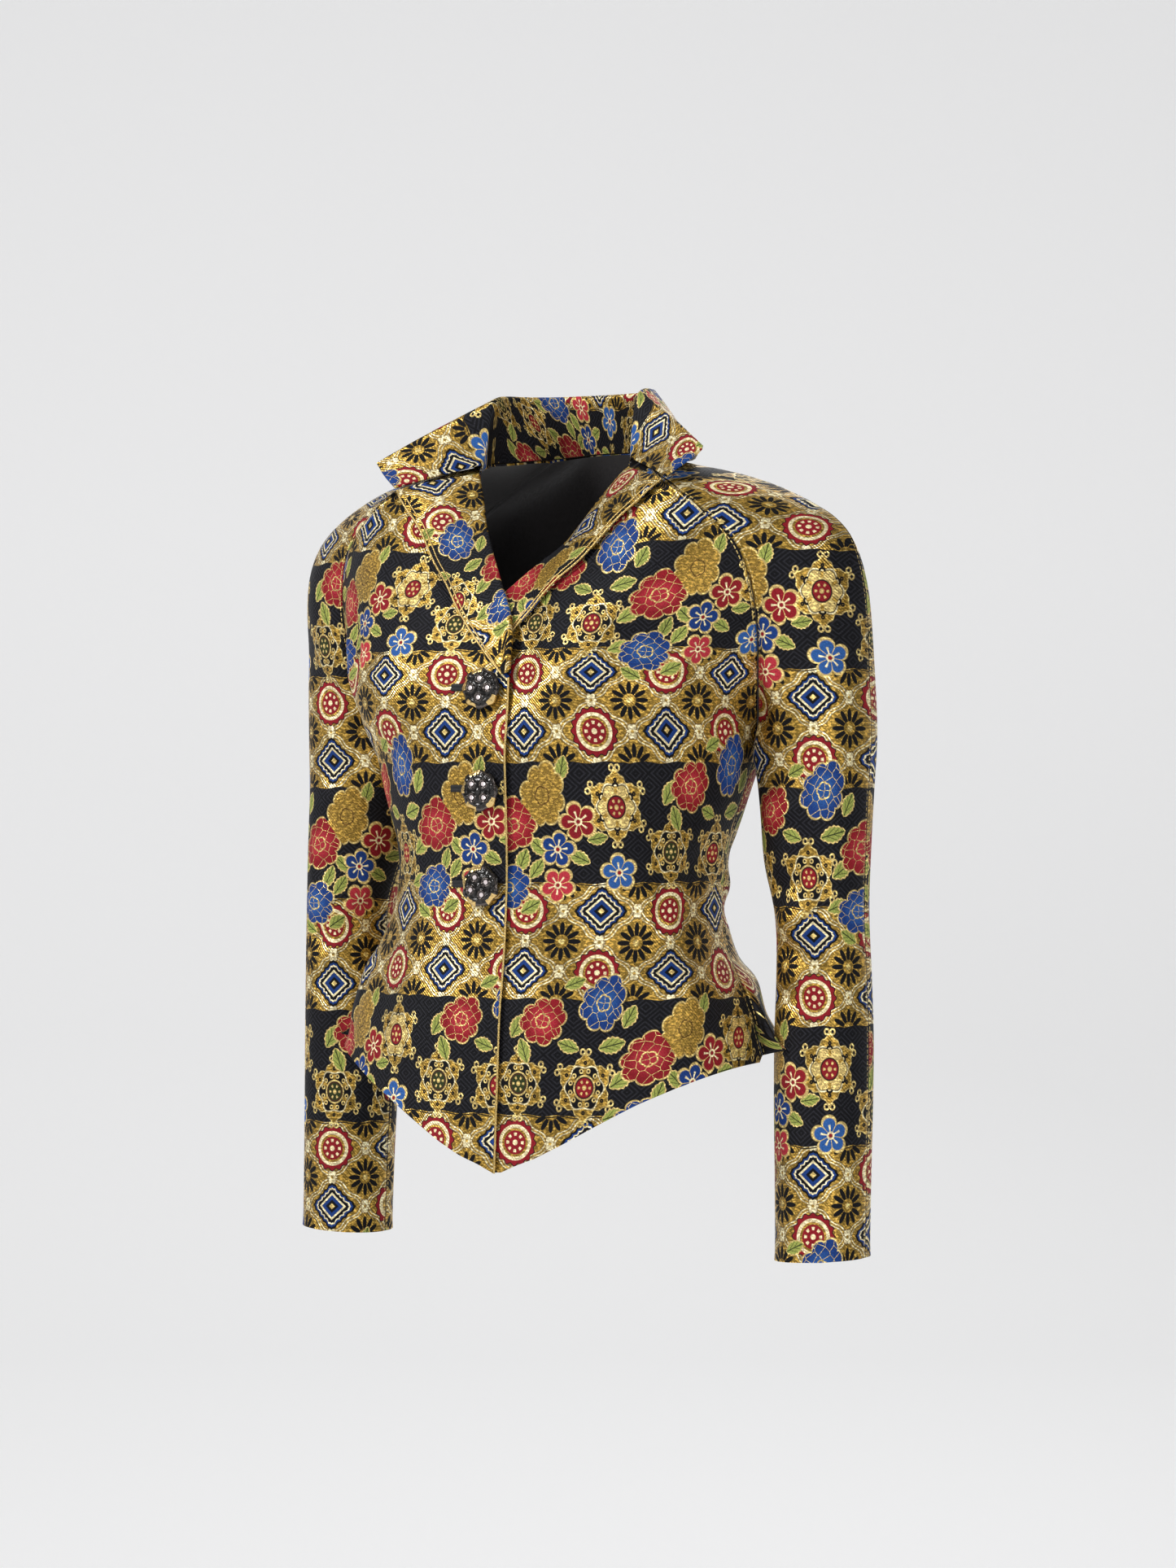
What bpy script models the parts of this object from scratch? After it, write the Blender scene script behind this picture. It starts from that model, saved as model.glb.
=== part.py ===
"""Evening jacket: fitted body in four panels, two-piece raglan sleeves, collar, lapels, three buttons.

Metres, +Z up. The front faces -Y and the wearer's left is +X. The origin is the middle of the
neckline at the height where the shoulder ridge meets the collar. Every cloth piece is a thin
hollow sheet with the shape it holds when it is worn.
"""
import math

import bmesh
import bpy
import numpy as np

MM = 0.001
WALL = 2.0 * MM
LAPEL_WALL = 1.6 * MM
SEAM_GAP = 0.3 * MM
LAPEL_CLEARANCE = 1.7 * MM

CAP_ROWS = 15
BODY_ROWS = 17
ARM_ROWS = 12
FRONT_COLUMNS = 13
BACK_COLUMNS = 17
SLEEVE_COLUMNS = 8
LAPEL_ROWS = 15
LAPEL_COLUMNS = 6

RING_POWER = 2.2
CUP_CENTRE = (0.068, -0.190)
CUP_SPREAD = (0.032, 0.045)
CUP_RISE = 11.0 * MM

HEM_TIP_X = 0.019
EDGE_OVERLAP = 0.018
RIGHT_LIFT = 1.6 * MM
LEFT_DROP = 1.8 * MM
LEFT_DROP_AT_LAPEL = 4.6 * MM

BUTTON_RADIUS = 15.0 * MM
BUTTON_HEIGHTS = (-0.1805, -0.2555, -0.3265)
BUTTON_X = -1.0 * MM
BUTTONHOLE_SIZE = (27.0 * MM, 5.2 * MM, 1.2 * MM)

# Front panel above the armpit, neck first: six points from the roll line to the raglan seam.
CHEST_ROWS = [
    [(.0660, -.034, -.0120), (.0680, -.029, -.0098), (.0692, -.024, -.0075),
     (.0700, -.019, -.0052), (.0706, -.014, -.0034), (.0710, -.010, -.0020)],
    [(.0600, -.042, -.0230), (.0680, -.048, -.0220), (.0760, -.052, -.0205),
     (.0830, -.054, -.0185), (.0890, -.053, -.0165), (.0950, -.050, -.0148)],
    [(.0510, -.053, -.0390), (.0660, -.065, -.0380), (.0810, -.073, -.0360),
     (.0950, -.077, -.0330), (.1070, -.077, -.0295), (.1180, -.074, -.0262)],
    [(.0420, -.064, -.0550), (.0620, -.077, -.0540), (.0830, -.086, -.0525),
     (.1040, -.087, -.0500), (.1240, -.082, -.0470), (.1420, -.073, -.0440)],
    [(.0290, -.077, -.0730), (.0550, -.089, -.0725), (.0820, -.098, -.0720),
     (.1110, -.097, -.0715), (.1410, -.085, -.0710), (.1670, -.063, -.0700)],
    [(.0060, -.104, -.1010), (.0400, -.111, -.1005), (.0760, -.116, -.1000),
     (.1120, -.110, -.1000), (.1470, -.089, -.1000), (.1770, -.055, -.1000)],
    [(-.0160, -.1275, -.1330), (.0240, -.1278, -.1335), (.0680, -.132, -.1340),
     (.1100, -.122, -.1350), (.1480, -.092, -.1350), (.1785, -.046, -.1350)],
    [(-.0190, -.1362, -.1700), (.0250, -.1366, -.1700), (.0680, -.142, -.1700),
     (.1100, -.129, -.1700), (.1470, -.094, -.1700), (.1735, -.034, -.1700)],
    [(-.0190, -.1388, -.2000), (.0250, -.1396, -.2000), (.0670, -.143, -.2000),
     (.1080, -.128, -.2000), (.1420, -.090, -.2000), (.1640, -.014, -.2000)],
]

# Back panel above the armpit, neck first: five points from the centre back to the raglan seam.
SHOULDER_BLADE_ROWS = [
    [(0, .0680, .0100), (.013, .0672, .0098), (.026, .0642, .0088),
     (.038, .0578, .0072), (.048, .0490, .0055)],
    [(0, .0780, -.0120), (.023, .0775, -.0120), (.046, .0745, -.0122),
     (.067, .0685, -.0125), (.085, .0600, -.0130)],
    [(0, .0870, -.0380), (.033, .0870, -.0378), (.065, .0850, -.0372),
     (.095, .0785, -.0362), (.121, .0690, -.0350)],
    [(0, .0935, -.0680), (.039, .0945, -.0672), (.078, .0925, -.0660),
     (.116, .0840, -.0640), (.149, .0700, -.0620)],
    [(0, .0985, -.1000), (.043, .1000, -.0992), (.087, .0975, -.0980),
     (.129, .0850, -.0965), (.1665, .0640, -.0950)],
    [(0, .1015, -.1300), (.045, .1030, -.1295), (.090, .1000, -.1290),
     (.134, .0850, -.1285), (.1730, .0570, -.1280)],
    [(0, .1020, -.1600), (.045, .1035, -.1600), (.090, .0995, -.1600),
     (.133, .0830, -.1600), (.1725, .0490, -.1600)],
    [(0, .1005, -.1870), (.044, .1020, -.1870), (.088, .0980, -.1870),
     (.129, .0810, -.1870), (.1660, .0400, -.1870)],
    [(0, .0990, -.2090), (.043, .1003, -.2090), (.086, .0965, -.2090),
     (.125, .0800, -.2090), (.1585, .0260, -.2090)],
]

# Body rings from the armpit down: height, half width, front y, back y, centre y, side seam y.
TORSO_RINGS = [
    (-.226, .1525, -.1385, .0970, .004, .010),
    (-.250, .1455, -.1388, .0915, .000, .008),
    (-.272, .1380, -.1385, .0870, .000, .007),
    (-.295, .1305, -.1380, .0830, .000, .008),
    (-.322, .1268, -.1380, .0795, -.003, .008),
    (-.346, .1290, -.1395, .0800, -.016, .002),
    (-.366, .1350, -.1410, .0835, -.026, -.008),
    (-.384, .1435, -.1430, .0885, -.031, -.014),
    (-.400, .1525, -.1455, .0940, -.029, -.018),
    (-.424, .1620, -.1490, .1020, -.024, -.0195),
]
HEM_RING = (-.450, .1705, -.1570, .1130, -.022, -.0195)

# Back of the peplum, centre back first, out round the flute in front of the arm to the side seam.
PEPLUM_BACK_400 = [
    (0, .0940), (.036, .0955), (.072, .0910), (.103, .0770), (.127, .0560),
    (.1425, .0320), (.1500, .0100), (.1535, -.0040), (.1548, -.0130), (.1525, -.0180)]
PEPLUM_BACK_424 = [
    (0, .1020), (.039, .1050), (.078, .1010), (.110, .0850), (.134, .0600),
    (.1480, .0340), (.1555, .0100), (.1650, -.0080), (.1745, -.0215), (.1620, -.0195)]
PEPLUM_BACK_HEM = [
    (0, .1130, -.462), (.046, .1190, -.459), (.090, .1130, -.453), (.124, .0930, -.447),
    (.146, .0630, -.443), (.157, .0340, -.442), (.162, .0100, -.442), (.174, -.0130, -.443),
    (.194, -.0305, -.447), (.1705, -.0195, -.4535)]

# Hem of the fronts: distance from the tip along x, height.
FRONT_HEM = [
    (0, -.537), (.015, -.530), (.030, -.5245), (.050, -.514), (.067, -.504),
    (.100, -.4845), (.130, -.469), (.150, -.4590), (.170, -.4520), (.195, -.4480)]

# Shoulder ridge and outer arm seam beside the nine raglan rows.
RIDGE = [
    (.0720, .000, .0000), (.1040, .000, -.0075), (.1370, .000, -.0142), (.1700, .000, -.0245),
    (.1990, .001, -.0375), (.2210, .003, -.0515), (.2345, .006, -.0700), (.2412, .010, -.1000),
    (.2428, .013, -.1320)]
# Handles that round each raglan row off: at the ridge, then at the seam, front and back.
FRONT_RIDGE_HANDLES = [
    (.000, -.004, .0000), (.000, -.018, .0010), (.000, -.028, .0000), (.000, -.030, -.0010),
    (.000, -.031, -.0030), (.000, -.032, -.0070), (.000, -.034, -.0130), (-.001, -.037, -.0180),
    (-.001, -.044, -.0200)]
FRONT_SEAM_HANDLES = [
    (.0003, .003, .0006), (.004, .016, .0050), (.008, .022, .0100), (.013, .018, .0150),
    (.020, .010, .0190), (.027, .002, .0210), (.031, -.011, .0190), (.028, -.023, .0160),
    (.018, -.036, .0130)]
BACK_RIDGE_HANDLES = [
    (.000, .020, .0008), (.000, .022, .0010), (.000, .028, .0000), (.000, .031, -.0010),
    (.000, .033, -.0040), (.000, .035, -.0100), (.000, .038, -.0150), (-.001, .043, -.0180),
    (-.001, .050, -.0200)]
BACK_SEAM_HANDLES = [
    (.012, -.013, -.0012), (.006, -.018, .0045), (.008, -.019, .0110), (.012, -.014, .0170),
    (.020, -.005, .0220), (.027, .005, .0240), (.030, .015, .0220), (.026, .026, .0180),
    (.016, .038, .0140)]

# Arm below the armpit: outer height, inner height, centre x, centre y, half width, half depth.
ARM_RINGS = [
    (-.168, -.226, .1975, .015, .0455, .0470),
    (-.212, -.252, .1990, .017, .0450, .0465),
    (-.254, -.280, .2000, .015, .0425, .0440),
    (-.298, -.312, .2020, .011, .0400, .0415),
    (-.345, -.350, .2070, .008, .0350, .0370),
    (-.392, -.394, .2080, .009, .0355, .0375),
    (-.440, -.440, .2075, .010, .0372, .0385),
    (-.490, -.490, .2075, .009, .0372, .0380),
    (-.545, -.545, .2080, .007, .0362, .0368),
    (-.603, -.607, .2085, .005, .0355, .0358),
]

# Collar from the centre back to the gorge: fold crest and outer edge.
COLLAR_CREST = [
    (0, .0585, .0560), (.0225, .0550, .0558), (.0420, .0445, .0550), (.0560, .0255, .0540),
    (.0618, .0060, .0530), (.0632, -.0070, .0510), (.0642, -.0165, .0450), (.0652, -.0240, .0260),
    (.0660, -.0290, .0070), (.0668, -.0320, -.0040)]
COLLAR_EDGE = [
    (0, .0900, .0060), (.0420, .0800, .0030), (.0760, .0530, .0010), (.0970, .0180, .0000),
    (.1140, -.0130, .0000), (.1290, -.0390, .0000), (.1405, -.0590, .0000), (.1370, -.0635, -.0055),
    (.1280, -.0695, -.0130), (.1165, -.0748, -.0218)]
COLLAR_FOLD_RADIUS = 3.2 * MM
STAND_INSET = 2.3 * MM

# Lapel: roll line (x, z), then outer edge (x, z), from the gorge to the first button.
LAPEL_ROLL = [
    (.0662, -.0130), (.0605, -.0230), (.0515, -.0390), (.0425, -.0550), (.0295, -.0730),
    (.0065, -.1010), (-.0155, -.1330), (-.0186, -.1690)]
LAPEL_EDGE = [
    (.1145, -.0268), (.1000, -.0420), (.0855, -.0570), (.0650, -.0840), (.0460, -.1035),
    (.0280, -.1245), (.0065, -.1480), (-.0150, -.1700)]


def spline(keys, t):
    """Point at t on the smooth curve through the keys, one unit of t to each step."""
    last = len(keys) - 1
    i = max(0, min(int(t), last - 1))
    f = t - i
    b = keys[i]
    c = keys[i + 1]
    a = keys[i - 1] if i > 0 else 2 * b - c
    d = keys[i + 2] if i + 2 <= last else 2 * c - b
    return b + 0.5 * f * (c - a + f * (2 * a - 5 * b + 4 * c - d + f * (3 * (b - c) + d - a)))


def spread(points, fractions):
    """Points at the given fractions of the length of the smooth curve through the given points."""
    keys = np.array(points, float)
    fine = np.array([spline(keys, t) for t in np.linspace(0, len(keys) - 1, 12 * (len(keys) - 1) + 1)])
    steps = np.linalg.norm(np.diff(fine, axis=0), axis=1)
    length = np.concatenate(([0.0], np.cumsum(steps)))
    at = np.asarray(fractions) * length[-1]
    return np.array([np.interp(at, length, fine[:, k]) for k in range(3)]).T


def smooth_step(value, start, end):
    f = min(1.0, max(0.0, (value - start) / (end - start)))
    return f * f * (3 - 2 * f)


def cup(x, z):
    """How far the bust pushes the front forward."""
    u = (abs(x) - CUP_CENTRE[0]) / CUP_SPREAD[0]
    v = (z - CUP_CENTRE[1]) / CUP_SPREAD[1]
    return CUP_RISE * math.exp(-0.5 * (u * u + v * v))


def ring_point(ring, angle):
    """Point of a body ring: angle 0 is the centre front, pi/2 the side, pi the centre back."""
    height, half_width, front, back, centre, _ = ring
    depth = centre - front if math.cos(angle) > 0 else back - centre
    across = abs(math.sin(angle) / half_width) ** RING_POWER
    along = abs(math.cos(angle) / depth) ** RING_POWER
    radius = (across + along) ** (-1 / RING_POWER)
    x = radius * math.sin(angle)
    y = centre - radius * math.cos(angle)
    if math.cos(angle) > 0:
        y -= cup(x, height)
    return (x, y, height)


def side_angle(ring):
    return math.atan2(ring[1], ring[4] - ring[5])


def ring_front(ring):
    start = -math.atan2(EDGE_OVERLAP, ring[4] - ring[2])
    return [ring_point(ring, a) for a in np.linspace(start, side_angle(ring), 12)]


def ring_back(ring):
    return [ring_point(ring, a) for a in np.linspace(math.pi, side_angle(ring), 12)]


def hem_height(x):
    keys = np.array(FRONT_HEM)
    return float(np.interp(abs(x - HEM_TIP_X), keys[:, 0], keys[:, 1]))


def front_keys(side):
    """Key rows of a front panel, neck to hem, each spread to the panel's columns."""
    fractions = np.linspace(0, 1, FRONT_COLUMNS)
    rows = [spread(row, fractions) for row in CHEST_ROWS]
    rows += [spread(ring_front(ring), fractions) for ring in TORSO_RINGS]
    hem = spread(ring_front(HEM_RING), fractions)
    for point in hem:
        lift = 5.0 * MM * smooth_step(-side * point[0], -0.019, -0.010) if side > 0 else 0.0
        point[2] = hem_height(side * point[0]) + lift
    hem[-1] = PEPLUM_BACK_HEM[-1]
    rows.append(0.5 * (rows[-1] + hem))
    rows.append(hem)
    return np.array(rows)


def back_keys():
    fractions = 1 - (1 - np.linspace(0, 1, BACK_COLUMNS)) ** 1.5
    rows = [spread(row, fractions) for row in SHOULDER_BLADE_ROWS]
    rows += [spread(ring_back(ring), fractions) for ring in TORSO_RINGS[:8]]
    for table, ring in ((PEPLUM_BACK_400, TORSO_RINGS[8]), (PEPLUM_BACK_424, TORSO_RINGS[9])):
        row = [(x, y, ring[0]) for x, y in table[:-1]] + [ring_point(ring, side_angle(ring))]
        rows.append(spread(row, fractions))
    hem = spread(PEPLUM_BACK_HEM, fractions)
    rows.append(0.5 * (rows[-1] + hem))
    rows.append(hem)
    return np.array(rows)


CAP_LAST = len(CHEST_ROWS)
BODY_LAST = CAP_LAST + len(TORSO_RINGS) + 1
CAP_T = np.linspace(0, CAP_LAST, CAP_ROWS)
BODY_T = np.linspace(CAP_LAST, BODY_LAST, BODY_ROWS)
PANEL_T = np.concatenate((CAP_T, BODY_T[1:]))


def seam_points(keys):
    """Points of a seam in two runs that meet at the armpit, so both sides of it agree."""
    upper = [spline(keys[:CAP_LAST + 1], t) for t in CAP_T]
    lower = [spline(keys[CAP_LAST:], t - CAP_LAST) for t in BODY_T]
    return np.array(upper), np.array(lower)


def panel_grid(keys, side_seam):
    """Rows of a body panel; its last column is moved onto the raglan seam and the side seam."""
    grid = np.array([spline(keys, t) for t in PANEL_T])
    upper, _ = seam_points(keys[:, -1])
    target = np.concatenate((upper, side_seam[1:]))
    ease = np.linspace(0, 1, grid.shape[1]) ** 2
    grid += (target - grid[:, -1])[:, None, :] * ease[None, :, None]
    return grid


def curve(start, start_handle, end_handle, end, columns):
    f = np.linspace(0, 1, columns)[:, None]
    g = 1 - f
    return g ** 3 * start + 3 * g * g * f * start_handle + 3 * g * f * f * end_handle + f ** 3 * end


def sleeve_keys(seam, ridge_handles, seam_handles, forward):
    """Key rows of half a sleeve as start, two handles and end, from the neck to the cuff."""
    rows = []
    for i, ridge in enumerate(RIDGE):
        top = np.array(ridge)
        low = np.array(seam[i])
        rows.append((top, top + ridge_handles[i], low + seam_handles[i], low))
    for outer_z, inner_z, x, y, half_width, half_depth in ARM_RINGS:
        reach = np.array((0, forward * half_depth * 4 / 3, 0))
        outer = np.array((x + half_width, y, outer_z))
        inner = np.array((x - half_width, y, inner_z))
        rows.append((outer, outer + reach, inner + reach, inner))
    rows[CAP_LAST] = rows[CAP_LAST][:3] + (np.array(seam[CAP_LAST]),)
    return np.array(rows)


ARM_LAST = CAP_LAST + len(ARM_RINGS) - 1
ARM_T = np.linspace(CAP_LAST, ARM_LAST, ARM_ROWS)


def sleeve_grid(keys):
    upper, _ = seam_points(keys[:, 3])
    grid = []
    for i, t in enumerate(CAP_T):
        top, first, second, _ = spline(keys, t)
        grid.append(curve(top, first, second, upper[i], SLEEVE_COLUMNS))
    under = keys[CAP_LAST:, 3]
    for t in ARM_T[1:]:
        top, first, second, _ = spline(keys, t)
        grid.append(curve(top, first, second, spline(under, t - CAP_LAST), SLEEVE_COLUMNS))
    return np.array(grid)


def grid_normals(grid, outward):
    """Unit normals of a grid; outward is +1 or -1 for the sense of its rows and columns."""
    down = np.gradient(grid, axis=0)
    across = np.gradient(grid, axis=1)
    normals = outward * np.cross(down, across)
    return normals / np.maximum(np.linalg.norm(normals, axis=2, keepdims=True), 1e-12)


def share_normals(normals_a, rows_a, column_a, normals_b, rows_b, column_b):
    """Give two pieces one normal along a smooth seam, so that their edges stay parallel."""
    for i, j in zip(rows_a, rows_b):
        a = normals_a[i, column_a]
        b = normals_b[j, column_b]
        if float(np.dot(a, b)) > 0.5:
            mean = (a + b) / np.linalg.norm(a + b)
            normals_a[i, column_a] = mean
            normals_b[j, column_b] = mean


def draw_in(grid, sides):
    """Move the named sides of a grid in by half a seam gap."""
    result = grid.copy()
    ends = {"first column": (0, 1), "last column": (-1, -2)}
    for name in sides:
        edge, inner = ends[name]
        step = grid[:, inner] - grid[:, edge]
        step /= np.linalg.norm(step, axis=1, keepdims=True)
        result[:, edge] += 0.5 * SEAM_GAP * step
    return result


def mirrored(grid):
    return grid * np.array((-1.0, 1.0, 1.0))


def panel_lay(side, point):
    """How far a front is lifted or sunk where the right front laps over the left."""
    x = point[0]
    z = point[2]
    if side < 0:
        return RIGHT_LIFT * smooth_step(x, -0.055, -0.020)
    near_lapel = smooth_step(z, -0.205, -0.165)
    drop = LEFT_DROP + (LEFT_DROP_AT_LAPEL - LEFT_DROP) * near_lapel
    return -drop * (1 - smooth_step(x, 0.024, 0.055))


def on_panel(grid, normals, x, z):
    """Point and normal of a front panel at x and z, from the nearest facet seen from the front."""
    best = None
    rows, columns = grid.shape[:2]
    for i in range(rows - 1):
        for j in range(columns - 1):
            for tri in (((i, j), (i + 1, j), (i + 1, j + 1)), ((i, j), (i + 1, j + 1), (i, j + 1))):
                a, b, c = (grid[k] for k in tri)
                det = (b[0] - a[0]) * (c[2] - a[2]) - (c[0] - a[0]) * (b[2] - a[2])
                if abs(det) < 1e-12:
                    continue
                u = ((x - a[0]) * (c[2] - a[2]) - (c[0] - a[0]) * (z - a[2])) / det
                v = ((b[0] - a[0]) * (z - a[2]) - (x - a[0]) * (b[2] - a[2])) / det
                outside = max(0.0, -u, -v, u + v - 1)
                if best is None or outside < best[0]:
                    weights = (1 - u - v, u, v)
                    point = sum(w * grid[k] for w, k in zip(weights, tri))
                    normal = sum(w * normals[k] for w, k in zip(weights, tri))
                    best = (outside, point, normal / np.linalg.norm(normal))
            if best is not None and best[0] == 0.0:
                return best[1], best[2]
    return best[1], best[2]


def material(name, colour, roughness, metallic):
    made = bpy.data.materials.new(name)
    made.use_nodes = True
    shader = made.node_tree.nodes["Principled BSDF"]
    shader.inputs["Base Color"].default_value = (*colour, 1.0)
    shader.inputs["Roughness"].default_value = roughness
    shader.inputs["Metallic"].default_value = metallic
    return made


def add_object(name, mesh_builder, look):
    mesh = bpy.data.meshes.new(name)
    mesh_builder.to_mesh(mesh)
    mesh_builder.free()
    mesh.materials.append(look)
    mesh.shade_smooth()
    mesh.set_sharp_from_angle(angle=math.radians(40))
    made = bpy.data.objects.new(name, mesh)
    bpy.context.collection.objects.link(made)
    return made


def cloth_sheet(name, outer, inner, look):
    """Closed thin piece between an outer and an inner grid of the same size."""
    rows, columns = outer.shape[:2]
    builder = bmesh.new()
    front = [[builder.verts.new(outer[i, j]) for j in range(columns)] for i in range(rows)]
    back = [[builder.verts.new(inner[i, j]) for j in range(columns)] for i in range(rows)]
    for i in range(rows - 1):
        for j in range(columns - 1):
            builder.faces.new((front[i][j], front[i + 1][j], front[i + 1][j + 1], front[i][j + 1]))
            builder.faces.new((back[i][j], back[i][j + 1], back[i + 1][j + 1], back[i + 1][j]))
    rim = [(i, 0) for i in range(rows)]
    rim += [(rows - 1, j) for j in range(1, columns)]
    rim += [(i, columns - 1) for i in range(rows - 2, -1, -1)]
    rim += [(0, j) for j in range(columns - 2, 0, -1)]
    for (a, b), (c, d) in zip(rim, rim[1:] + rim[:1]):
        builder.faces.new((front[c][d], front[a][b], back[a][b], back[c][d]))
    bmesh.ops.recalc_face_normals(builder, faces=builder.faces)
    return add_object(name, builder, look)


def build_bodies(brocade):
    """Four body panels and four sleeve halves; returns the fronts' grids for what lies on them."""
    front = {side: front_keys(side) for side in (1, -1)}
    back = back_keys()
    _, side_lower = seam_points(back[:, -1])
    front_seam = front[1][:, -1]
    back_seam = back[:, -1]
    half_front = sleeve_grid(sleeve_keys(front_seam, FRONT_RIDGE_HANDLES, FRONT_SEAM_HANDLES, -1))
    half_back = sleeve_grid(sleeve_keys(back_seam, BACK_RIDGE_HANDLES, BACK_SEAM_HANDLES, 1))
    back_grid = panel_grid(back, side_lower)
    cap = range(CAP_ROWS)
    everything = range(half_front.shape[0])
    fronts = {}
    for side, word in ((1, "left"), (-1, "right")):
        grid = panel_grid(front[side], side_lower)
        flip = (lambda g: g) if side > 0 else mirrored
        pieces = {
            "front": flip(grid), "back": flip(back_grid),
            "sleeve_front": flip(half_front), "sleeve_back": flip(half_back)}
        senses = {"front": -side, "back": side, "sleeve_front": side, "sleeve_back": -side}
        normals = {key: -grid_normals(pieces[key], senses[key]) for key in pieces}
        lay = np.array([[panel_lay(side, p) for p in row] for row in pieces["front"]])
        pieces["front"] = pieces["front"] + lay[:, :, None] * normals["front"]
        normals["front"] = -grid_normals(pieces["front"], senses["front"])
        below = range(CAP_ROWS - 1, pieces["front"].shape[0])
        share_normals(normals["front"], cap, -1, normals["sleeve_front"], cap, -1)
        share_normals(normals["back"], cap, -1, normals["sleeve_back"], cap, -1)
        share_normals(normals["front"], below, -1, normals["back"], below, -1)
        arm = range(CAP_ROWS - 1, half_front.shape[0])
        share_normals(normals["sleeve_front"], arm, -1, normals["sleeve_back"], arm, -1)
        share_normals(normals["sleeve_front"], everything, 0, normals["sleeve_back"], everything, 0)
        normals["back"][:, 0, 0] = 0.0
        normals["back"][:, 0] /= np.linalg.norm(normals["back"][:, 0], axis=1, keepdims=True)
        seams = {
            "front": ["last column"], "back": ["first column", "last column"],
            "sleeve_front": ["first column", "last column"],
            "sleeve_back": ["first column", "last column"]}
        for key, outer in pieces.items():
            inner = outer - WALL * normals[key]
            cloth_sheet(key + "_" + word, draw_in(outer, seams[key]), draw_in(inner, seams[key]), brocade)
        fronts[side] = (pieces["front"], normals["front"])
    return fronts, back


def build_lapel(side, fronts, brocade):
    """Turned-back front from the gorge to the first button, lying just off the panel."""
    grid, normals = fronts[side]
    roll = np.array(LAPEL_ROLL)
    edge = np.array(LAPEL_EDGE)
    outer = []
    inner = []
    for t in np.linspace(0, len(roll) - 1, LAPEL_ROWS):
        start = spline(roll, t)
        end = spline(edge, t)
        outer.append([])
        inner.append([])
        for f in np.linspace(0, 1, LAPEL_COLUMNS):
            x, z = start + f * (end - start)
            point, normal = on_panel(grid, normals, side * x, z)
            free = smooth_step(-z, 0.02, 0.06) * smooth_step(z, -0.13, -0.11)
            corner = smooth_step(z, -0.045, -0.030)
            rise = LAPEL_CLEARANCE + f * MM * (0.6 * free + 0.9 * corner)
            inner[-1].append(point + rise * normal)
            outer[-1].append(point + (rise + LAPEL_WALL) * normal)
    word = "left" if side > 0 else "right"
    cloth_sheet("lapel_" + word, np.array(outer), np.array(inner), brocade)


def neck_seam(q, front, back):
    """Point of the neckline for q from 0 at the centre back to 1 at the gorge."""
    back_row = back[0]
    front_row = front[0][::-1]
    shoulder = [np.array(p) for p in ((.0620, .0310, .0034), (.0695, .0150, .0012), (.0720, 0, 0))]
    path = list(back_row[::3]) + [back_row[-1]] + shoulder + list(front_row[::3])
    keys = np.array(path)
    steps = np.linalg.norm(np.diff(keys, axis=0), axis=1)
    keep = [0] + [i + 1 for i, s in enumerate(steps) if s > 0.5 * MM]
    return spread(keys[keep], [q])[0]


def collar_section(k, crest, edge, base, last):
    """Stand, fold and fall of the collar on one line out from the neck."""
    out = edge - crest
    out[2] = 0
    out /= np.linalg.norm(out)
    up = np.array((0.0, 0.0, 1.0))
    radius = COLLAR_FOLD_RADIUS
    stand_top = crest - radius * out - radius * up
    slope = math.atan2(float(np.dot(edge - crest, out)), float(crest[2] - edge[2]))
    section = [base + f * (stand_top - base) for f in (0, 0.5)]
    for share in (0, 0.25, 0.5, 0.75, 1):
        a = math.pi + share * (slope - math.pi)
        section.append(crest - radius * up + radius * (math.cos(a) * out + math.sin(a) * up))
    fall = edge - section[-1]
    bow = 2.5 * MM * (math.cos(slope) * out + math.sin(slope) * up) * (k < last)
    first = section[-1] + 0.33 * fall + bow
    second = section[-1] + 0.67 * fall + bow
    section += list(curve(section[-1], first, second, edge, 7)[1:])
    return section


def build_collar(fronts, front, back, brocade):
    crests = np.array(COLLAR_CREST)
    edges = np.array(COLLAR_EDGE)
    last = len(crests) - 1
    half = []
    for k in np.linspace(0, last, 14):
        crest = spline(crests, k)
        edge = spline(edges, k)
        base = neck_seam(min(1.0, k / last), front, back)
        inward = np.array((base[0], base[1], 0.0))
        inward /= np.linalg.norm(inward)
        base = base - STAND_INSET * inward + np.array((0, 0, 0.6 * MM))
        half.append(collar_section(k, crest, edge, base, last))
    half = np.array(half)
    grid = np.concatenate((mirrored(half[:0:-1]), half))
    normals = grid_normals(grid, 1)
    centre = grid.shape[0] // 2
    if normals[centre, -1][1] < 0:
        normals = -normals
    cloth_sheet("collar", grid, grid - WALL * normals, brocade)


def button_frame(fronts, z, x):
    """Seat of a button: centre, axes, and the height that clears the cloth under it."""
    grid, normals = fronts[-1]
    centre, normal = on_panel(grid, normals, x, z)
    side = np.cross(normal, (0.0, 0.0, 1.0))
    side /= np.linalg.norm(side)
    top = np.cross(side, normal)
    height = 0.0
    for turn in range(12):
        for share in (0.5, 1.0):
            a = math.radians(30 * turn)
            spot = centre + share * BUTTON_RADIUS * (math.cos(a) * side + math.sin(a) * top)
            below, _ = on_panel(grid, normals, spot[0], spot[2])
            height = max(height, float(np.dot(below - centre, normal)))
    return centre, side, top, normal, height


def button_height(x, y, radius):
    """Height of the button's face: a dome with four round stones and a raised cross between."""
    dome = 4.6 * MM * math.sqrt(max(0.0, 1 - (0.93 * radius / BUTTON_RADIUS) ** 2))
    face = 1.6 * MM + dome
    for sx in (-1, 1):
        for sy in (-1, 1):
            gap = math.hypot(x - sx * 4.9 * MM, y - sy * 4.9 * MM)
            face += 1.5 * MM * max(0.0, 1 - (gap / (3.6 * MM)) ** 2)
    return face


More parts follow.
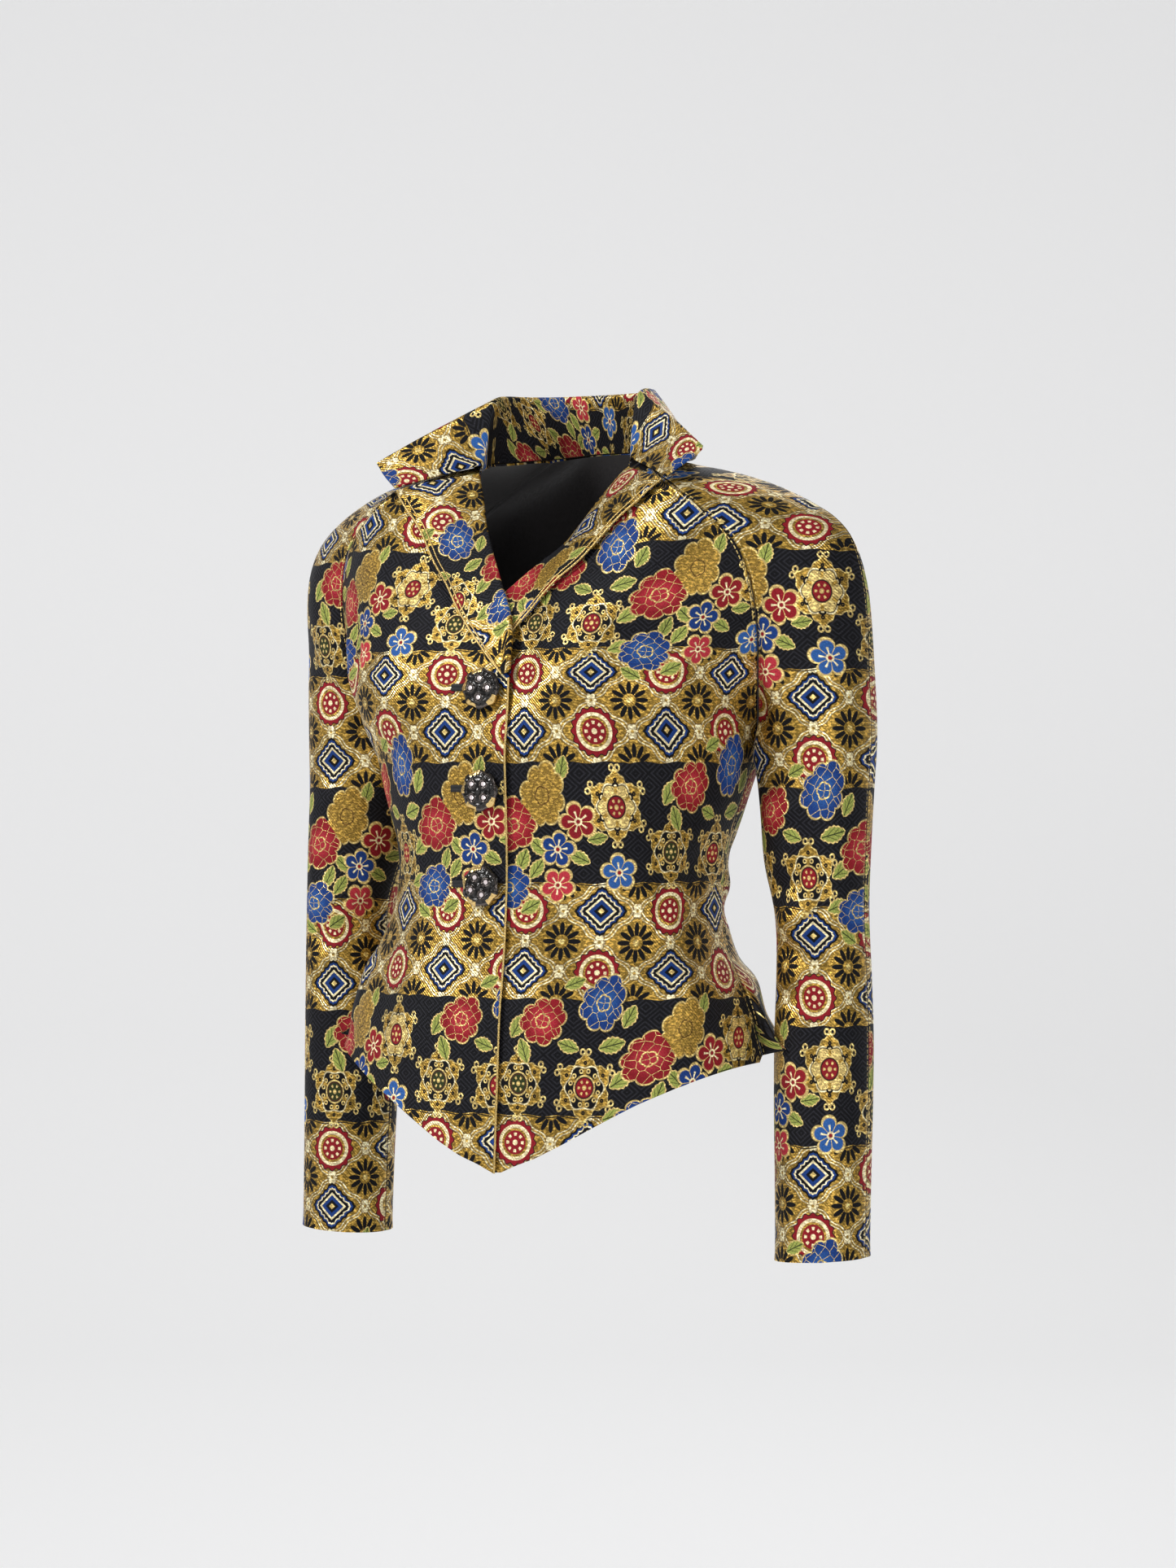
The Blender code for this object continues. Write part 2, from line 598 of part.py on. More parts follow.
def build_button(index, fronts, look):
    centre, side, top, normal, height = button_frame(fronts, BUTTON_HEIGHTS[index], BUTTON_X)
    seat = centre + (height + SEAM_GAP + 1.4 * MM) * normal
    turn = math.radians((45, 0, 20)[index])
    spokes = 32
    rings = (0.22, 0.42, 0.60, 0.78, 0.93, 1.0)
    builder = bmesh.new()

    def place(radius, angle, rise):
        lobes = 1 + 0.045 * math.cos(8 * angle) * (radius / BUTTON_RADIUS) ** 4
        x = radius * lobes * math.cos(angle)
        y = radius * lobes * math.sin(angle)
        if rise is None:
            rise = button_height(x, y, radius)
        a = math.cos(turn) * x - math.sin(turn) * y
        b = math.sin(turn) * x + math.cos(turn) * y
        return builder.verts.new(seat + a * side + b * top + rise * normal)

    loops = []
    for share in rings:
        loops.append([place(share * BUTTON_RADIUS, math.tau * s / spokes, None) for s in range(spokes)])
    loops.append([place(BUTTON_RADIUS, math.tau * s / spokes, 0.9 * MM) for s in range(spokes)])
    loops.append([place(0.72 * BUTTON_RADIUS, math.tau * s / spokes, 0.0) for s in range(spokes)])
    crown = place(0.0, 0.0, None)
    foot = place(0.0, 0.0, 0.0)
    for s in range(spokes):
        n = (s + 1) % spokes
        builder.faces.new((crown, loops[0][s], loops[0][n]))
        builder.faces.new((foot, loops[-1][n], loops[-1][s]))
        for low, high in zip(loops, loops[1:]):
            builder.faces.new((low[s], high[s], high[n], low[n]))
    bmesh.ops.recalc_face_normals(builder, faces=builder.faces)
    add_object("button_%d" % (index + 1), builder, look)


def build_buttonhole(index, fronts, look):
    """Flat bound strip behind a button, reaching out towards the wearer's right."""
    grid, normals = fronts[-1]
    length, width, thick = BUTTONHOLE_SIZE
    z = BUTTON_HEIGHTS[index] + 1.5 * MM
    columns = 7
    outer = []
    inner = []
    for share in (-0.5, 0.0, 0.5):
        outer.append([])
        inner.append([])
        for j in range(columns):
            x = BUTTON_X - length + length * j / (columns - 1)
            point, normal = on_panel(grid, normals, x, z + share * width)
            inner[-1].append(point + 0.35 * MM * normal)
            outer[-1].append(point + (0.35 * MM + thick) * normal)
    cloth_sheet("buttonhole_%d" % (index + 1), np.array(outer), np.array(inner), look)


def main():
    for existing in list(bpy.data.objects):
        bpy.data.objects.remove(existing, do_unlink=True)
    brocade = material("brocade", (0.42, 0.29, 0.10), 0.5, 0.25)
    black_enamel = material("black_enamel", (0.012, 0.011, 0.012), 0.25, 0.3)
    black_binding = material("black_binding", (0.012, 0.012, 0.014), 0.7, 0.0)
    fronts, back = build_bodies(brocade)
    for side in (1, -1):
        build_lapel(side, fronts, brocade)
    build_collar(fronts, front_keys(1), back, brocade)
    for index in range(len(BUTTON_HEIGHTS)):
        build_button(index, fronts, black_enamel)
        build_buttonhole(index, fronts, black_binding)


main()
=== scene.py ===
"""Looks of the evening jacket: thin cloth shells on the CAD solids, woven brocade, bindings, buttons.

Metres, +Z up, the same frame as the CAD. The front faces -Y and the wearer's left is +X.
"""
import math

import bmesh
import bpy
import numpy as np
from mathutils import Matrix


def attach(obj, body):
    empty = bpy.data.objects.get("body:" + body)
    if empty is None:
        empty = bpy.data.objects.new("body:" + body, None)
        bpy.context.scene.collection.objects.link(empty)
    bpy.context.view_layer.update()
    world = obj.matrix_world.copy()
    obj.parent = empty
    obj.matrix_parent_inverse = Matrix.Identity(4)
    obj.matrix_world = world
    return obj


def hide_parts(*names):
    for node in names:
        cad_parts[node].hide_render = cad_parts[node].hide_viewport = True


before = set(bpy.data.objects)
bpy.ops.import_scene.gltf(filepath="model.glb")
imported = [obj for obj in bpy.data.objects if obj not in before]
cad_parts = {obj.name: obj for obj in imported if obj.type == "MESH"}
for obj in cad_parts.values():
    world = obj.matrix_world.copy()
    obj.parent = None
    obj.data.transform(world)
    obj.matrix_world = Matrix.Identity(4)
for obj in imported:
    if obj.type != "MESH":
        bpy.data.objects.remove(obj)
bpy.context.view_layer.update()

MM = 0.001

# Thickness of the cloth and of the lapels, and the fine gaps between pieces.
WALL = 1.7 * MM
LAPEL_WALL = 1.6 * MM
BUTTON_GAP = 0.3 * MM
CLOSED_SEAM = 0.06 * MM
LAPEL_CLEARANCE = 1.7 * MM

# Points of the grids, and how often each grid's inner points are eased.
CAP_ROWS = 57
BODY_ROWS = 97
ARM_ROWS = 111
FRONT_COLUMNS = 61
BACK_COLUMNS = 65
SLEEVE_COLUMNS = 41
LAPEL_ROWS = 85
LAPEL_COLUMNS = 25
RING_SAMPLES = 12
SPREAD_SAMPLES = 12
BACK_COLUMN_POWER = 1.5
FRONT_EASING = 30
BACK_EASING = 12
SLEEVE_EASING = 20

# Roundness of the body rings, and the bust that swells them.
RING_POWER = 2.2
CUP_CENTRE = (0.068, -0.190)
CUP_SPREAD = (0.032, 0.045)
CUP_RISE = 11.0 * MM

# Cloth coordinates: take-up under the bust, slope over the shoulder, fit of the sleeves' bands.
BUST_LEVEL = -0.195
BUST_SPREAD = 0.055
BUST_TAKE_UP = 7.5 * MM
SHOULDER_SLOPE = 0.15
SLEEVE_ROUND = 0.040
SLEEVE_SHIFT = 7.0 * MM
SLEEVE_BREAK = -0.077
SLEEVE_RATE = 0.958
LEAST_LEVEL = 0.6

# Relief pressed into the cloth: depth and half width of seams and darts, fade of the creases.
SEAM_SINK = 0.80 * MM
SEAM_HALF_WIDTH = 2.8 * MM
SEAM_SINK_END = -0.390
SEAM_SINK_FADE = 0.030
DART_SINK = 1.30 * MM
DART_HALF_WIDTH = 2.0 * MM
DART_SWELL = 0.60 * MM
DART_SWELL_HALF_WIDTH = 12.0 * MM
CREASE_RIM = 12.0 * MM
CREASE_STRENGTH = {1: 2.2, -1: 1.9}
CREASE_DRIFT = {1: 0.0, -1: 6.0 * MM}
SLEEVE_CREASE_FACTOR = 1.3
CREASE_BEND = 0.10
CREASE_CORE = 0.22
CREASE_FADE = 40.0

# Lap of the fronts: where they overlap, and how far the right is lifted and the left is sunk.
HEM_TIP_X = 0.019
HEM_LIFT_START = 0.010
EDGE_OVERLAP = 0.018
RIGHT_LIFT = 1.6 * MM
LEFT_DROP = 1.8 * MM
LEFT_DROP_AT_LAPEL = 4.6 * MM
LEFT_HEM_LIFT = 5.0 * MM
RIGHT_LAP = (-0.055, -0.020)
LEFT_LAP = (0.024, 0.055)
LAPEL_END = (-0.205, -0.165)

# Buttons from the top down, and the bound strips behind them: length, width, thickness.
BUTTON_RADIUS = 15.0 * MM
BUTTON_HEIGHTS = (-0.1805, -0.2555, -0.3265)
BUTTON_TURNS = (45, 0, 20)
BUTTON_X = -1.0 * MM
BUTTONHOLE_SIZE = (27.0 * MM, 5.2 * MM, 1.2 * MM)
BUTTONHOLE_GAP = 0.3 * MM
STONE_OFFSET = 5.0 * MM
# Outline of a stone, radius and height; of a button's skirt, share of the radius and height.
STONE_OUTLINE = ((1.85 * MM, 0.0), (1.85 * MM, 0.35 * MM), (1.15 * MM, 1.05 * MM))
SKIRT_OUTLINE = ((1.0, 1.8 * MM), (0.985, 1.0 * MM), (0.93, 0.5 * MM), (0.72, 0.15 * MM))
GILT_AT = (10, 75, 222, 300)
GILT_HALF_ANGLE = 19

# Camera: azimuth from the front, distance, height of its level line, and where the axis shows.
CAMERA_AZIMUTH = math.radians(28.0)
CAMERA_DISTANCE = 2.8
CAMERA_HEIGHT = -0.2507
CAMERA_ASIDE = 0.011
CAMERA_LENS = 83.03

# Front panel above the armpit, neck first: six points from the roll line to the raglan seam.
CHEST_ROWS = [
    [(.0660, -.034, -.0120), (.0680, -.029, -.0098), (.0692, -.024, -.0075),
     (.0700, -.019, -.0052), (.0706, -.014, -.0034), (.0710, -.010, -.0020)],
    [(.0600, -.042, -.0230), (.0680, -.048, -.0220), (.0760, -.052, -.0205),
     (.0830, -.054, -.0185), (.0890, -.053, -.0165), (.0950, -.050, -.0148)],
    [(.0510, -.053, -.0390), (.0660, -.065, -.0380), (.0810, -.073, -.0360),
     (.0950, -.077, -.0330), (.1070, -.077, -.0295), (.1180, -.074, -.0262)],
    [(.0420, -.064, -.0550), (.0620, -.077, -.0540), (.0830, -.086, -.0525),
     (.1040, -.087, -.0500), (.1240, -.082, -.0470), (.1420, -.073, -.0440)],
    [(.0290, -.077, -.0730), (.0550, -.089, -.0725), (.0820, -.098, -.0720),
     (.1110, -.097, -.0715), (.1410, -.085, -.0710), (.1670, -.063, -.0700)],
    [(.0060, -.104, -.1010), (.0400, -.111, -.1005), (.0760, -.116, -.1000),
     (.1120, -.110, -.1000), (.1470, -.089, -.1000), (.1770, -.055, -.1000)],
    [(-.0160, -.1275, -.1330), (.0240, -.1278, -.1335), (.0680, -.132, -.1340),
     (.1100, -.122, -.1350), (.1480, -.092, -.1350), (.1785, -.046, -.1350)],
    [(-.0190, -.1362, -.1700), (.0250, -.1366, -.1700), (.0680, -.142, -.1700),
     (.1100, -.129, -.1700), (.1470, -.094, -.1700), (.1735, -.034, -.1700)],
    [(-.0190, -.1388, -.2000), (.0250, -.1396, -.2000), (.0670, -.143, -.2000),
     (.1080, -.128, -.2000), (.1420, -.090, -.2000), (.1640, -.014, -.2000)],
]

# Back panel above the armpit, neck first: five points from the centre back to the raglan seam.
SHOULDER_BLADE_ROWS = [
    [(0, .0680, .0100), (.013, .0672, .0098), (.026, .0642, .0088),
     (.038, .0578, .0072), (.048, .0490, .0055)],
    [(0, .0780, -.0120), (.023, .0775, -.0120), (.046, .0745, -.0122),
     (.067, .0685, -.0125), (.085, .0600, -.0130)],
    [(0, .0870, -.0380), (.033, .0870, -.0378), (.065, .0850, -.0372),
     (.095, .0785, -.0362), (.121, .0690, -.0350)],
    [(0, .0935, -.0680), (.039, .0945, -.0672), (.078, .0925, -.0660),
     (.116, .0840, -.0640), (.149, .0700, -.0620)],
    [(0, .0985, -.1000), (.043, .1000, -.0992), (.087, .0975, -.0980),
     (.129, .0850, -.0965), (.1665, .0640, -.0950)],
    [(0, .1015, -.1300), (.045, .1030, -.1295), (.090, .1000, -.1290),
     (.134, .0850, -.1285), (.1730, .0570, -.1280)],
    [(0, .1020, -.1600), (.045, .1035, -.1600), (.090, .0995, -.1600),
     (.133, .0830, -.1600), (.1725, .0490, -.1600)],
    [(0, .1005, -.1870), (.044, .1020, -.1870), (.088, .0980, -.1870),
     (.129, .0810, -.1870), (.1660, .0400, -.1870)],
    [(0, .0990, -.2090), (.043, .1003, -.2090), (.086, .0965, -.2090),
     (.125, .0800, -.2090), (.1585, .0260, -.2090)],
]

# Body rings from the armpit down: height, half width, front y, back y, centre y, side seam y.
TORSO_RINGS = [
    (-.226, .1525, -.1385, .0970, .004, .010),
    (-.250, .1455, -.1388, .0915, .000, .008),
    (-.272, .1380, -.1385, .0870, .000, .007),
    (-.295, .1305, -.1380, .0830, .000, .008),
    (-.322, .1268, -.1380, .0795, -.003, .008),
    (-.346, .1290, -.1395, .0800, -.016, .002),
    (-.366, .1350, -.1410, .0835, -.026, -.008),
    (-.384, .1435, -.1430, .0885, -.031, -.014),
    (-.400, .1525, -.1455, .0940, -.029, -.018),
    (-.424, .1620, -.1490, .1020, -.024, -.0195),
]
HEM_RING = (-.450, .1705, -.1570, .1130, -.022, -.0195)

# Back of the peplum, centre back first, out round the flute in front of the arm to the side seam.
PEPLUM_BACK_400 = [
    (0, .0940), (.036, .0955), (.072, .0910), (.103, .0770), (.127, .0560),
    (.1425, .0320), (.1500, .0100), (.1535, -.0040), (.1548, -.0130), (.1525, -.0180)]
PEPLUM_BACK_424 = [
    (0, .1020), (.039, .1050), (.078, .1010), (.110, .0850), (.134, .0600),
    (.1480, .0340), (.1555, .0100), (.1650, -.0080), (.1745, -.0215), (.1620, -.0195)]
PEPLUM_BACK_HEM = [
    (0, .1130, -.462), (.046, .1190, -.459), (.090, .1130, -.453), (.124, .0930, -.447),
    (.146, .0630, -.443), (.157, .0340, -.442), (.162, .0100, -.442), (.174, -.0130, -.443),
    (.194, -.0305, -.447), (.1705, -.0195, -.4535)]

# Hem of the fronts: distance from the tip along x, height.
FRONT_HEM = [
    (0, -.537), (.015, -.530), (.030, -.5245), (.050, -.514), (.067, -.504),
    (.100, -.4845), (.130, -.469), (.150, -.4590), (.170, -.4520), (.195, -.4480)]

# Shoulder ridge and outer arm seam beside the nine raglan rows.
RIDGE = [
    (.0720, .000, .0000), (.1040, .000, -.0075), (.1370, .000, -.0142), (.1700, .000, -.0245),
    (.1990, .001, -.0375), (.2210, .003, -.0515), (.2345, .006, -.0700), (.2412, .010, -.1000),
    (.2428, .013, -.1320)]
# Handles that round each raglan row off: at the ridge, then at the seam, front and back.
FRONT_RIDGE_HANDLES = [
    (.000, -.004, .0000), (.000, -.018, .0010), (.000, -.028, .0000), (.000, -.030, -.0010),
    (.000, -.031, -.0030), (.000, -.032, -.0070), (.000, -.034, -.0130), (-.001, -.037, -.0180),
    (-.001, -.044, -.0200)]
FRONT_SEAM_HANDLES = [
    (.0003, .003, .0006), (.004, .016, .0050), (.008, .022, .0100), (.013, .018, .0150),
    (.020, .010, .0190), (.027, .002, .0210), (.031, -.011, .0190), (.028, -.023, .0160),
    (.018, -.036, .0130)]
BACK_RIDGE_HANDLES = [
    (.000, .020, .0008), (.000, .022, .0010), (.000, .028, .0000), (.000, .031, -.0010),
    (.000, .033, -.0040), (.000, .035, -.0100), (.000, .038, -.0150), (-.001, .043, -.0180),
    (-.001, .050, -.0200)]
BACK_SEAM_HANDLES = [
    (.012, -.013, -.0012), (.006, -.018, .0045), (.008, -.019, .0110), (.012, -.014, .0170),
    (.020, -.005, .0220), (.027, .005, .0240), (.030, .015, .0220), (.026, .026, .0180),
    (.016, .038, .0140)]

# Arm below the armpit: outer height, inner height, centre x, centre y, half width, half depth.
ARM_RINGS = [
    (-.168, -.226, .1975, .015, .0455, .0470),
    (-.212, -.252, .1990, .017, .0450, .0465),
    (-.254, -.280, .2000, .015, .0425, .0440),
    (-.298, -.312, .2020, .011, .0400, .0415),
    (-.345, -.350, .2070, .008, .0350, .0370),
    (-.392, -.394, .2080, .009, .0355, .0375),
    (-.440, -.440, .2075, .010, .0372, .0385),
    (-.490, -.490, .2075, .009, .0372, .0380),
    (-.545, -.545, .2080, .007, .0362, .0368),
    (-.603, -.607, .2085, .005, .0355, .0358),
]

# Collar from the centre back to the gorge: fold crest and outer edge.
COLLAR_CREST = [
    (0, .0585, .0560), (.0225, .0550, .0558), (.0420, .0445, .0550), (.0560, .0255, .0540),
    (.0618, .0060, .0530), (.0632, -.0070, .0510), (.0642, -.0165, .0450), (.0652, -.0240, .0260),
    (.0660, -.0290, .0070), (.0668, -.0320, -.0040)]
COLLAR_EDGE = [
    (0, .0900, .0060), (.0420, .0800, .0030), (.0760, .0530, .0010), (.0970, .0180, .0000),
    (.1140, -.0130, .0000), (.1290, -.0390, .0000), (.1405, -.0590, .0000), (.1370, -.0635, -.0055),
    (.1280, -.0695, -.0130), (.1165, -.0748, -.0218)]
COLLAR_FOLD_RADIUS = 3.2 * MM
STAND_INSET = 2.3 * MM
STAND_LIFT = 0.6 * MM
COLLAR_BOW = 2.5 * MM
COLLAR_ROWS = 64
STAND_STEPS = 9
FOLD_STEPS = 13
FALL_STEPS = 22
# The column whose length sets the run of the pattern, and how much that run is stretched.
COLLAR_MIDDLE = 33
COLLAR_EASE = 1.089

# Lapel: roll line (x, z), then outer edge (x, z), from the gorge to the first button.
LAPEL_ROLL = [
    (.0662, -.0130), (.0605, -.0230), (.0515, -.0390), (.0425, -.0550), (.0295, -.0730),
    (.0065, -.1010), (-.0155, -.1330), (-.0186, -.1690)]
LAPEL_EDGE = [
    (.1145, -.0268), (.1000, -.0420), (.0855, -.0570), (.0650, -.0840), (.0460, -.1035),
    (.0280, -.1245), (.0065, -.1480), (-.0150, -.1700)]
# Lapel: extra rise of its free edge and its corner, bow of its middle, rolled fold, edging cords.
LAPEL_FREE = (0.02, 0.06)
LAPEL_HELD = (-0.13, -0.11)
LAPEL_CORNER = (-0.045, -0.030)
LAPEL_FREE_RISE = 0.6 * MM
LAPEL_CORNER_RISE = 0.9 * MM
LAPEL_BOW = 0.8 * MM
ROLL_STEPS = 9
ROLL_WALL = 0.9 * MM
ROLL_BACK = 0.4 * MM
CORD_STEP = 2.2 * MM
LAPEL_CORD = 0.85 * MM
LAPEL_CORD_RISE = 0.25 * MM
INNER_CORD = 0.55 * MM
INNER_CORD_RISE = 0.35 * MM
FRONT_CORD = 0.95 * MM

# Creases on the left half, in cloth metres: start u, v, end u, v, half width, depth (+ sinks).
FRONT_CREASES = [
    (.150, -.118, .128, -.182, .0075, .0019), (.163, -.128, .146, -.200, .0060, -.0012),
    (.176, -.196, .135, -.224, .0070, .0014), (.120, -.150, .098, -.168, .0110, .0008),
    (.205, -.300, .150, -.318, .0080, .0012), (.200, -.322, .140, -.330, .0070, -.0009),
    (.190, -.340, .150, -.352, .0070, .0010), (.070, -.300, .030, -.318, .0140, .0008),
    (.100, -.345, .104, -.450, .0160, .0016), (.055, -.380, .050, -.480, .0180, -.0012),
    (.150, -.372, .160, -.452, .0130, -.0015), (.060, -.075, .092, -.118, .0120, .0009),
]
BACK_CREASES = [
    (.150, -.120, .130, -.190, .0085, .0017), (.165, -.135, .150, -.215, .0065, -.0012),
    (.190, -.290, .120, -.315, .0090, .0015), (.185, -.316, .105, -.332, .0080, -.0010),
    (.170, -.338, .110, -.350, .0080, .0011), (.020, -.300, .070, -.320, .0120, .0009),
    (.045, -.350, .052, -.455, .0180, .0018), (.105, -.350, .118, -.445, .0160, -.0016),
    (.030, -.120, .070, -.150, .0200, .0010), (.010, -.200, .012, -.290, .0160, .0008),
]
SLEEVE_FRONT_CREASES = [
    (.150, -.120, .175, -.215, .0070, .0016), (.165, -.110, .192, -.190, .0090, -.0011),
    (.165, -.240, .215, -.225, .0060, .0013), (.165, -.262, .222, -.252, .0055, -.0008),
    (.170, -.318, .225, -.300, .0070, .0015), (.172, -.338, .240, -.330, .0065, -.0011),
    (.172, -.356, .236, -.362, .0065, .0016), (.175, -.382, .225, -.402, .0070, .0010),
    (.180, -.470, .215, -.485, .0100, .0008), (.205, -.540, .230, -.575, .0090, .0007),
]
SLEEVE_BACK_CREASES = [
    (.150, -.115, .178, -.210, .0080, .0016), (.172, -.250, .222, -.236, .0070, .0012),
    (.180, -.318, .238, -.330, .0080, .0016), (.180, -.345, .240, -.348, .0070, -.0011),
    (.178, -.372, .236, -.362, .0075, .0015), (.185, -.450, .225, -.470, .0110, .0008),
    (.195, -.530, .225, -.560, .0100, .0007),
]


def spline(keys, t):
    """Point at t on the smooth curve through the keys, one unit of t to each step."""
    last = len(keys) - 1
    i = max(0, min(int(t), last - 1))
    f = t - i
    b = keys[i]
    c = keys[i + 1]
    a = keys[i - 1] if i > 0 else 2 * b - c
    d = keys[i + 2] if i + 2 <= last else 2 * c - b
    return b + 0.5 * f * (c - a + f * (2 * a - 5 * b + 4 * c - d + f * (3 * (b - c) + d - a)))


def spread(points, fractions):
    """Points at the given fractions of the length of the smooth curve through the given points."""
    keys = np.array(points, float)
    last = len(keys) - 1
    fine = np.array([spline(keys, t) for t in np.linspace(0, last, SPREAD_SAMPLES * last + 1)])
    steps = np.linalg.norm(np.diff(fine, axis=0), axis=1)
    length = np.concatenate(([0.0], np.cumsum(steps)))
    at = np.asarray(fractions) * length[-1]
    return np.array([np.interp(at, length, fine[:, k]) for k in range(3)]).T


def smooth_step(value, start, end):
    f = min(1.0, max(0.0, (value - start) / (end - start)))
    return f * f * (3 - 2 * f)


def cup(x, z):
    """How far the bust pushes the front forward."""
    u = (abs(x) - CUP_CENTRE[0]) / CUP_SPREAD[0]
    v = (z - CUP_CENTRE[1]) / CUP_SPREAD[1]
    return CUP_RISE * math.exp(-0.5 * (u * u + v * v))


def ring_point(ring, angle):
    """Point of a body ring: angle 0 is the centre front, pi/2 the side, pi the centre back."""
    height, half_width, front, back, centre, _ = ring
    depth = centre - front if math.cos(angle) > 0 else back - centre
    across = abs(math.sin(angle) / half_width) ** RING_POWER
    along = abs(math.cos(angle) / depth) ** RING_POWER
    radius = (across + along) ** (-1 / RING_POWER)
    x = radius * math.sin(angle)
    y = centre - radius * math.cos(angle)
    if math.cos(angle) > 0:
        y -= cup(x, height)
    return (x, y, height)


def side_angle(ring):
    return math.atan2(ring[1], ring[4] - ring[5])


def ring_front(ring):
    start = -math.atan2(EDGE_OVERLAP, ring[4] - ring[2])
    return [ring_point(ring, a) for a in np.linspace(start, side_angle(ring), RING_SAMPLES)]


def ring_back(ring):
    return [ring_point(ring, a) for a in np.linspace(math.pi, side_angle(ring), RING_SAMPLES)]


def hem_height(x):
    keys = np.array(FRONT_HEM)
    return float(np.interp(abs(x - HEM_TIP_X), keys[:, 0], keys[:, 1]))


def front_keys(side):
    """Key rows of a front panel, neck to hem, each spread to the panel's columns."""
    fractions = np.linspace(0, 1, FRONT_COLUMNS)
    rows = [spread(row, fractions) for row in CHEST_ROWS]
    rows += [spread(ring_front(ring), fractions) for ring in TORSO_RINGS]
    hem = spread(ring_front(HEM_RING), fractions)
    for point in hem:
        lift = LEFT_HEM_LIFT * smooth_step(-point[0], -HEM_TIP_X, -HEM_LIFT_START) if side > 0 else 0.0
        point[2] = hem_height(side * point[0]) + lift
    hem[-1] = PEPLUM_BACK_HEM[-1]
    rows.append(0.5 * (rows[-1] + hem))
    rows.append(hem)
    return np.array(rows)


def back_keys():
    fractions = 1 - (1 - np.linspace(0, 1, BACK_COLUMNS)) ** BACK_COLUMN_POWER
    rows = [spread(row, fractions) for row in SHOULDER_BLADE_ROWS]
    rows += [spread(ring_back(ring), fractions) for ring in TORSO_RINGS[:8]]
    for table, ring in ((PEPLUM_BACK_400, TORSO_RINGS[8]), (PEPLUM_BACK_424, TORSO_RINGS[9])):
        row = [(x, y, ring[0]) for x, y in table[:-1]] + [ring_point(ring, side_angle(ring))]
        rows.append(spread(row, fractions))
    hem = spread(PEPLUM_BACK_HEM, fractions)
    rows.append(0.5 * (rows[-1] + hem))
    rows.append(hem)
    return np.array(rows)


CAP_LAST = len(CHEST_ROWS)
BODY_LAST = CAP_LAST + len(TORSO_RINGS) + 1
CAP_T = np.linspace(0, CAP_LAST, CAP_ROWS)
BODY_T = np.linspace(CAP_LAST, BODY_LAST, BODY_ROWS)
PANEL_T = np.concatenate((CAP_T, BODY_T[1:]))


def seam_points(keys):
    """Points of a seam in two runs that meet at the armpit, so both sides of it agree."""
    upper = [spline(keys[:CAP_LAST + 1], t) for t in CAP_T]
    lower = [spline(keys[CAP_LAST:], t - CAP_LAST) for t in BODY_T]
    return np.array(upper), np.array(lower)


def panel_grid(keys, side_seam):
    """Rows of a body panel; its last column is moved onto the raglan seam and the side seam."""
    grid = np.array([spline(keys, t) for t in PANEL_T])
    upper, _ = seam_points(keys[:, -1])
    target = np.concatenate((upper, side_seam[1:]))
    ease = np.linspace(0, 1, grid.shape[1]) ** 2
    grid += (target - grid[:, -1])[:, None, :] * ease[None, :, None]
    return grid


def curve(start, start_handle, end_handle, end, columns):
    f = np.linspace(0, 1, columns)[:, None]
    g = 1 - f
    return g ** 3 * start + 3 * g * g * f * start_handle + 3 * g * f * f * end_handle + f ** 3 * end


def sleeve_keys(seam, ridge_handles, seam_handles, forward):
    """Key rows of half a sleeve as start, two handles and end, from the neck to the cuff."""
    rows = []
    for i, ridge in enumerate(RIDGE):
        top = np.array(ridge)
        low = np.array(seam[i])
        rows.append((top, top + ridge_handles[i], low + seam_handles[i], low))
    for outer_z, inner_z, x, y, half_width, half_depth in ARM_RINGS:
        reach = np.array((0, forward * half_depth * 4 / 3, 0))
        outer = np.array((x + half_width, y, outer_z))
        inner = np.array((x - half_width, y, inner_z))
        rows.append((outer, outer + reach, inner + reach, inner))
    rows[CAP_LAST] = rows[CAP_LAST][:3] + (np.array(seam[CAP_LAST]),)
    return np.array(rows)


ARM_LAST = CAP_LAST + len(ARM_RINGS) - 1
ARM_T = np.linspace(CAP_LAST, ARM_LAST, ARM_ROWS)


def sleeve_grid(keys):
    upper, _ = seam_points(keys[:, 3])
    grid = []
    for i, t in enumerate(CAP_T):
        top, first, second, _ = spline(keys, t)
        grid.append(curve(top, first, second, upper[i], SLEEVE_COLUMNS))
    under = keys[CAP_LAST:, 3]
    for t in ARM_T[1:]:
        top, first, second, _ = spline(keys, t)
        grid.append(curve(top, first, second, spline(under, t - CAP_LAST), SLEEVE_COLUMNS))
    return np.array(grid)


def grid_normals(grid, outward):
    """Unit normals of a grid; outward is +1 or -1 for the sense of its rows and columns."""
    down = np.gradient(grid, axis=0)
    across = np.gradient(grid, axis=1)
    normals = outward * np.cross(down, across)
    return normals / np.maximum(np.linalg.norm(normals, axis=2, keepdims=True), 1e-12)


def share_normals(normals_a, rows_a, column_a, normals_b, rows_b, column_b):
    """Give two pieces one normal along a smooth seam, so that their edges stay parallel."""
    for i, j in zip(rows_a, rows_b):
        a = normals_a[i, column_a]
        b = normals_b[j, column_b]
        if float(np.dot(a, b)) > 0.5:
            mean = (a + b) / np.linalg.norm(a + b)
            normals_a[i, column_a] = mean
            normals_b[j, column_b] = mean


def relaxed(grid, passes):
    """The grid with its inner points eased towards their neighbours; its rim stays."""
    result = grid.copy()
    for _ in range(passes):
        mean = 0.25 * (result[:-2, 1:-1] + result[2:, 1:-1] + result[1:-1, :-2] + result[1:-1, 2:])
        result[1:-1, 1:-1] += 0.5 * (mean - result[1:-1, 1:-1])
    return result


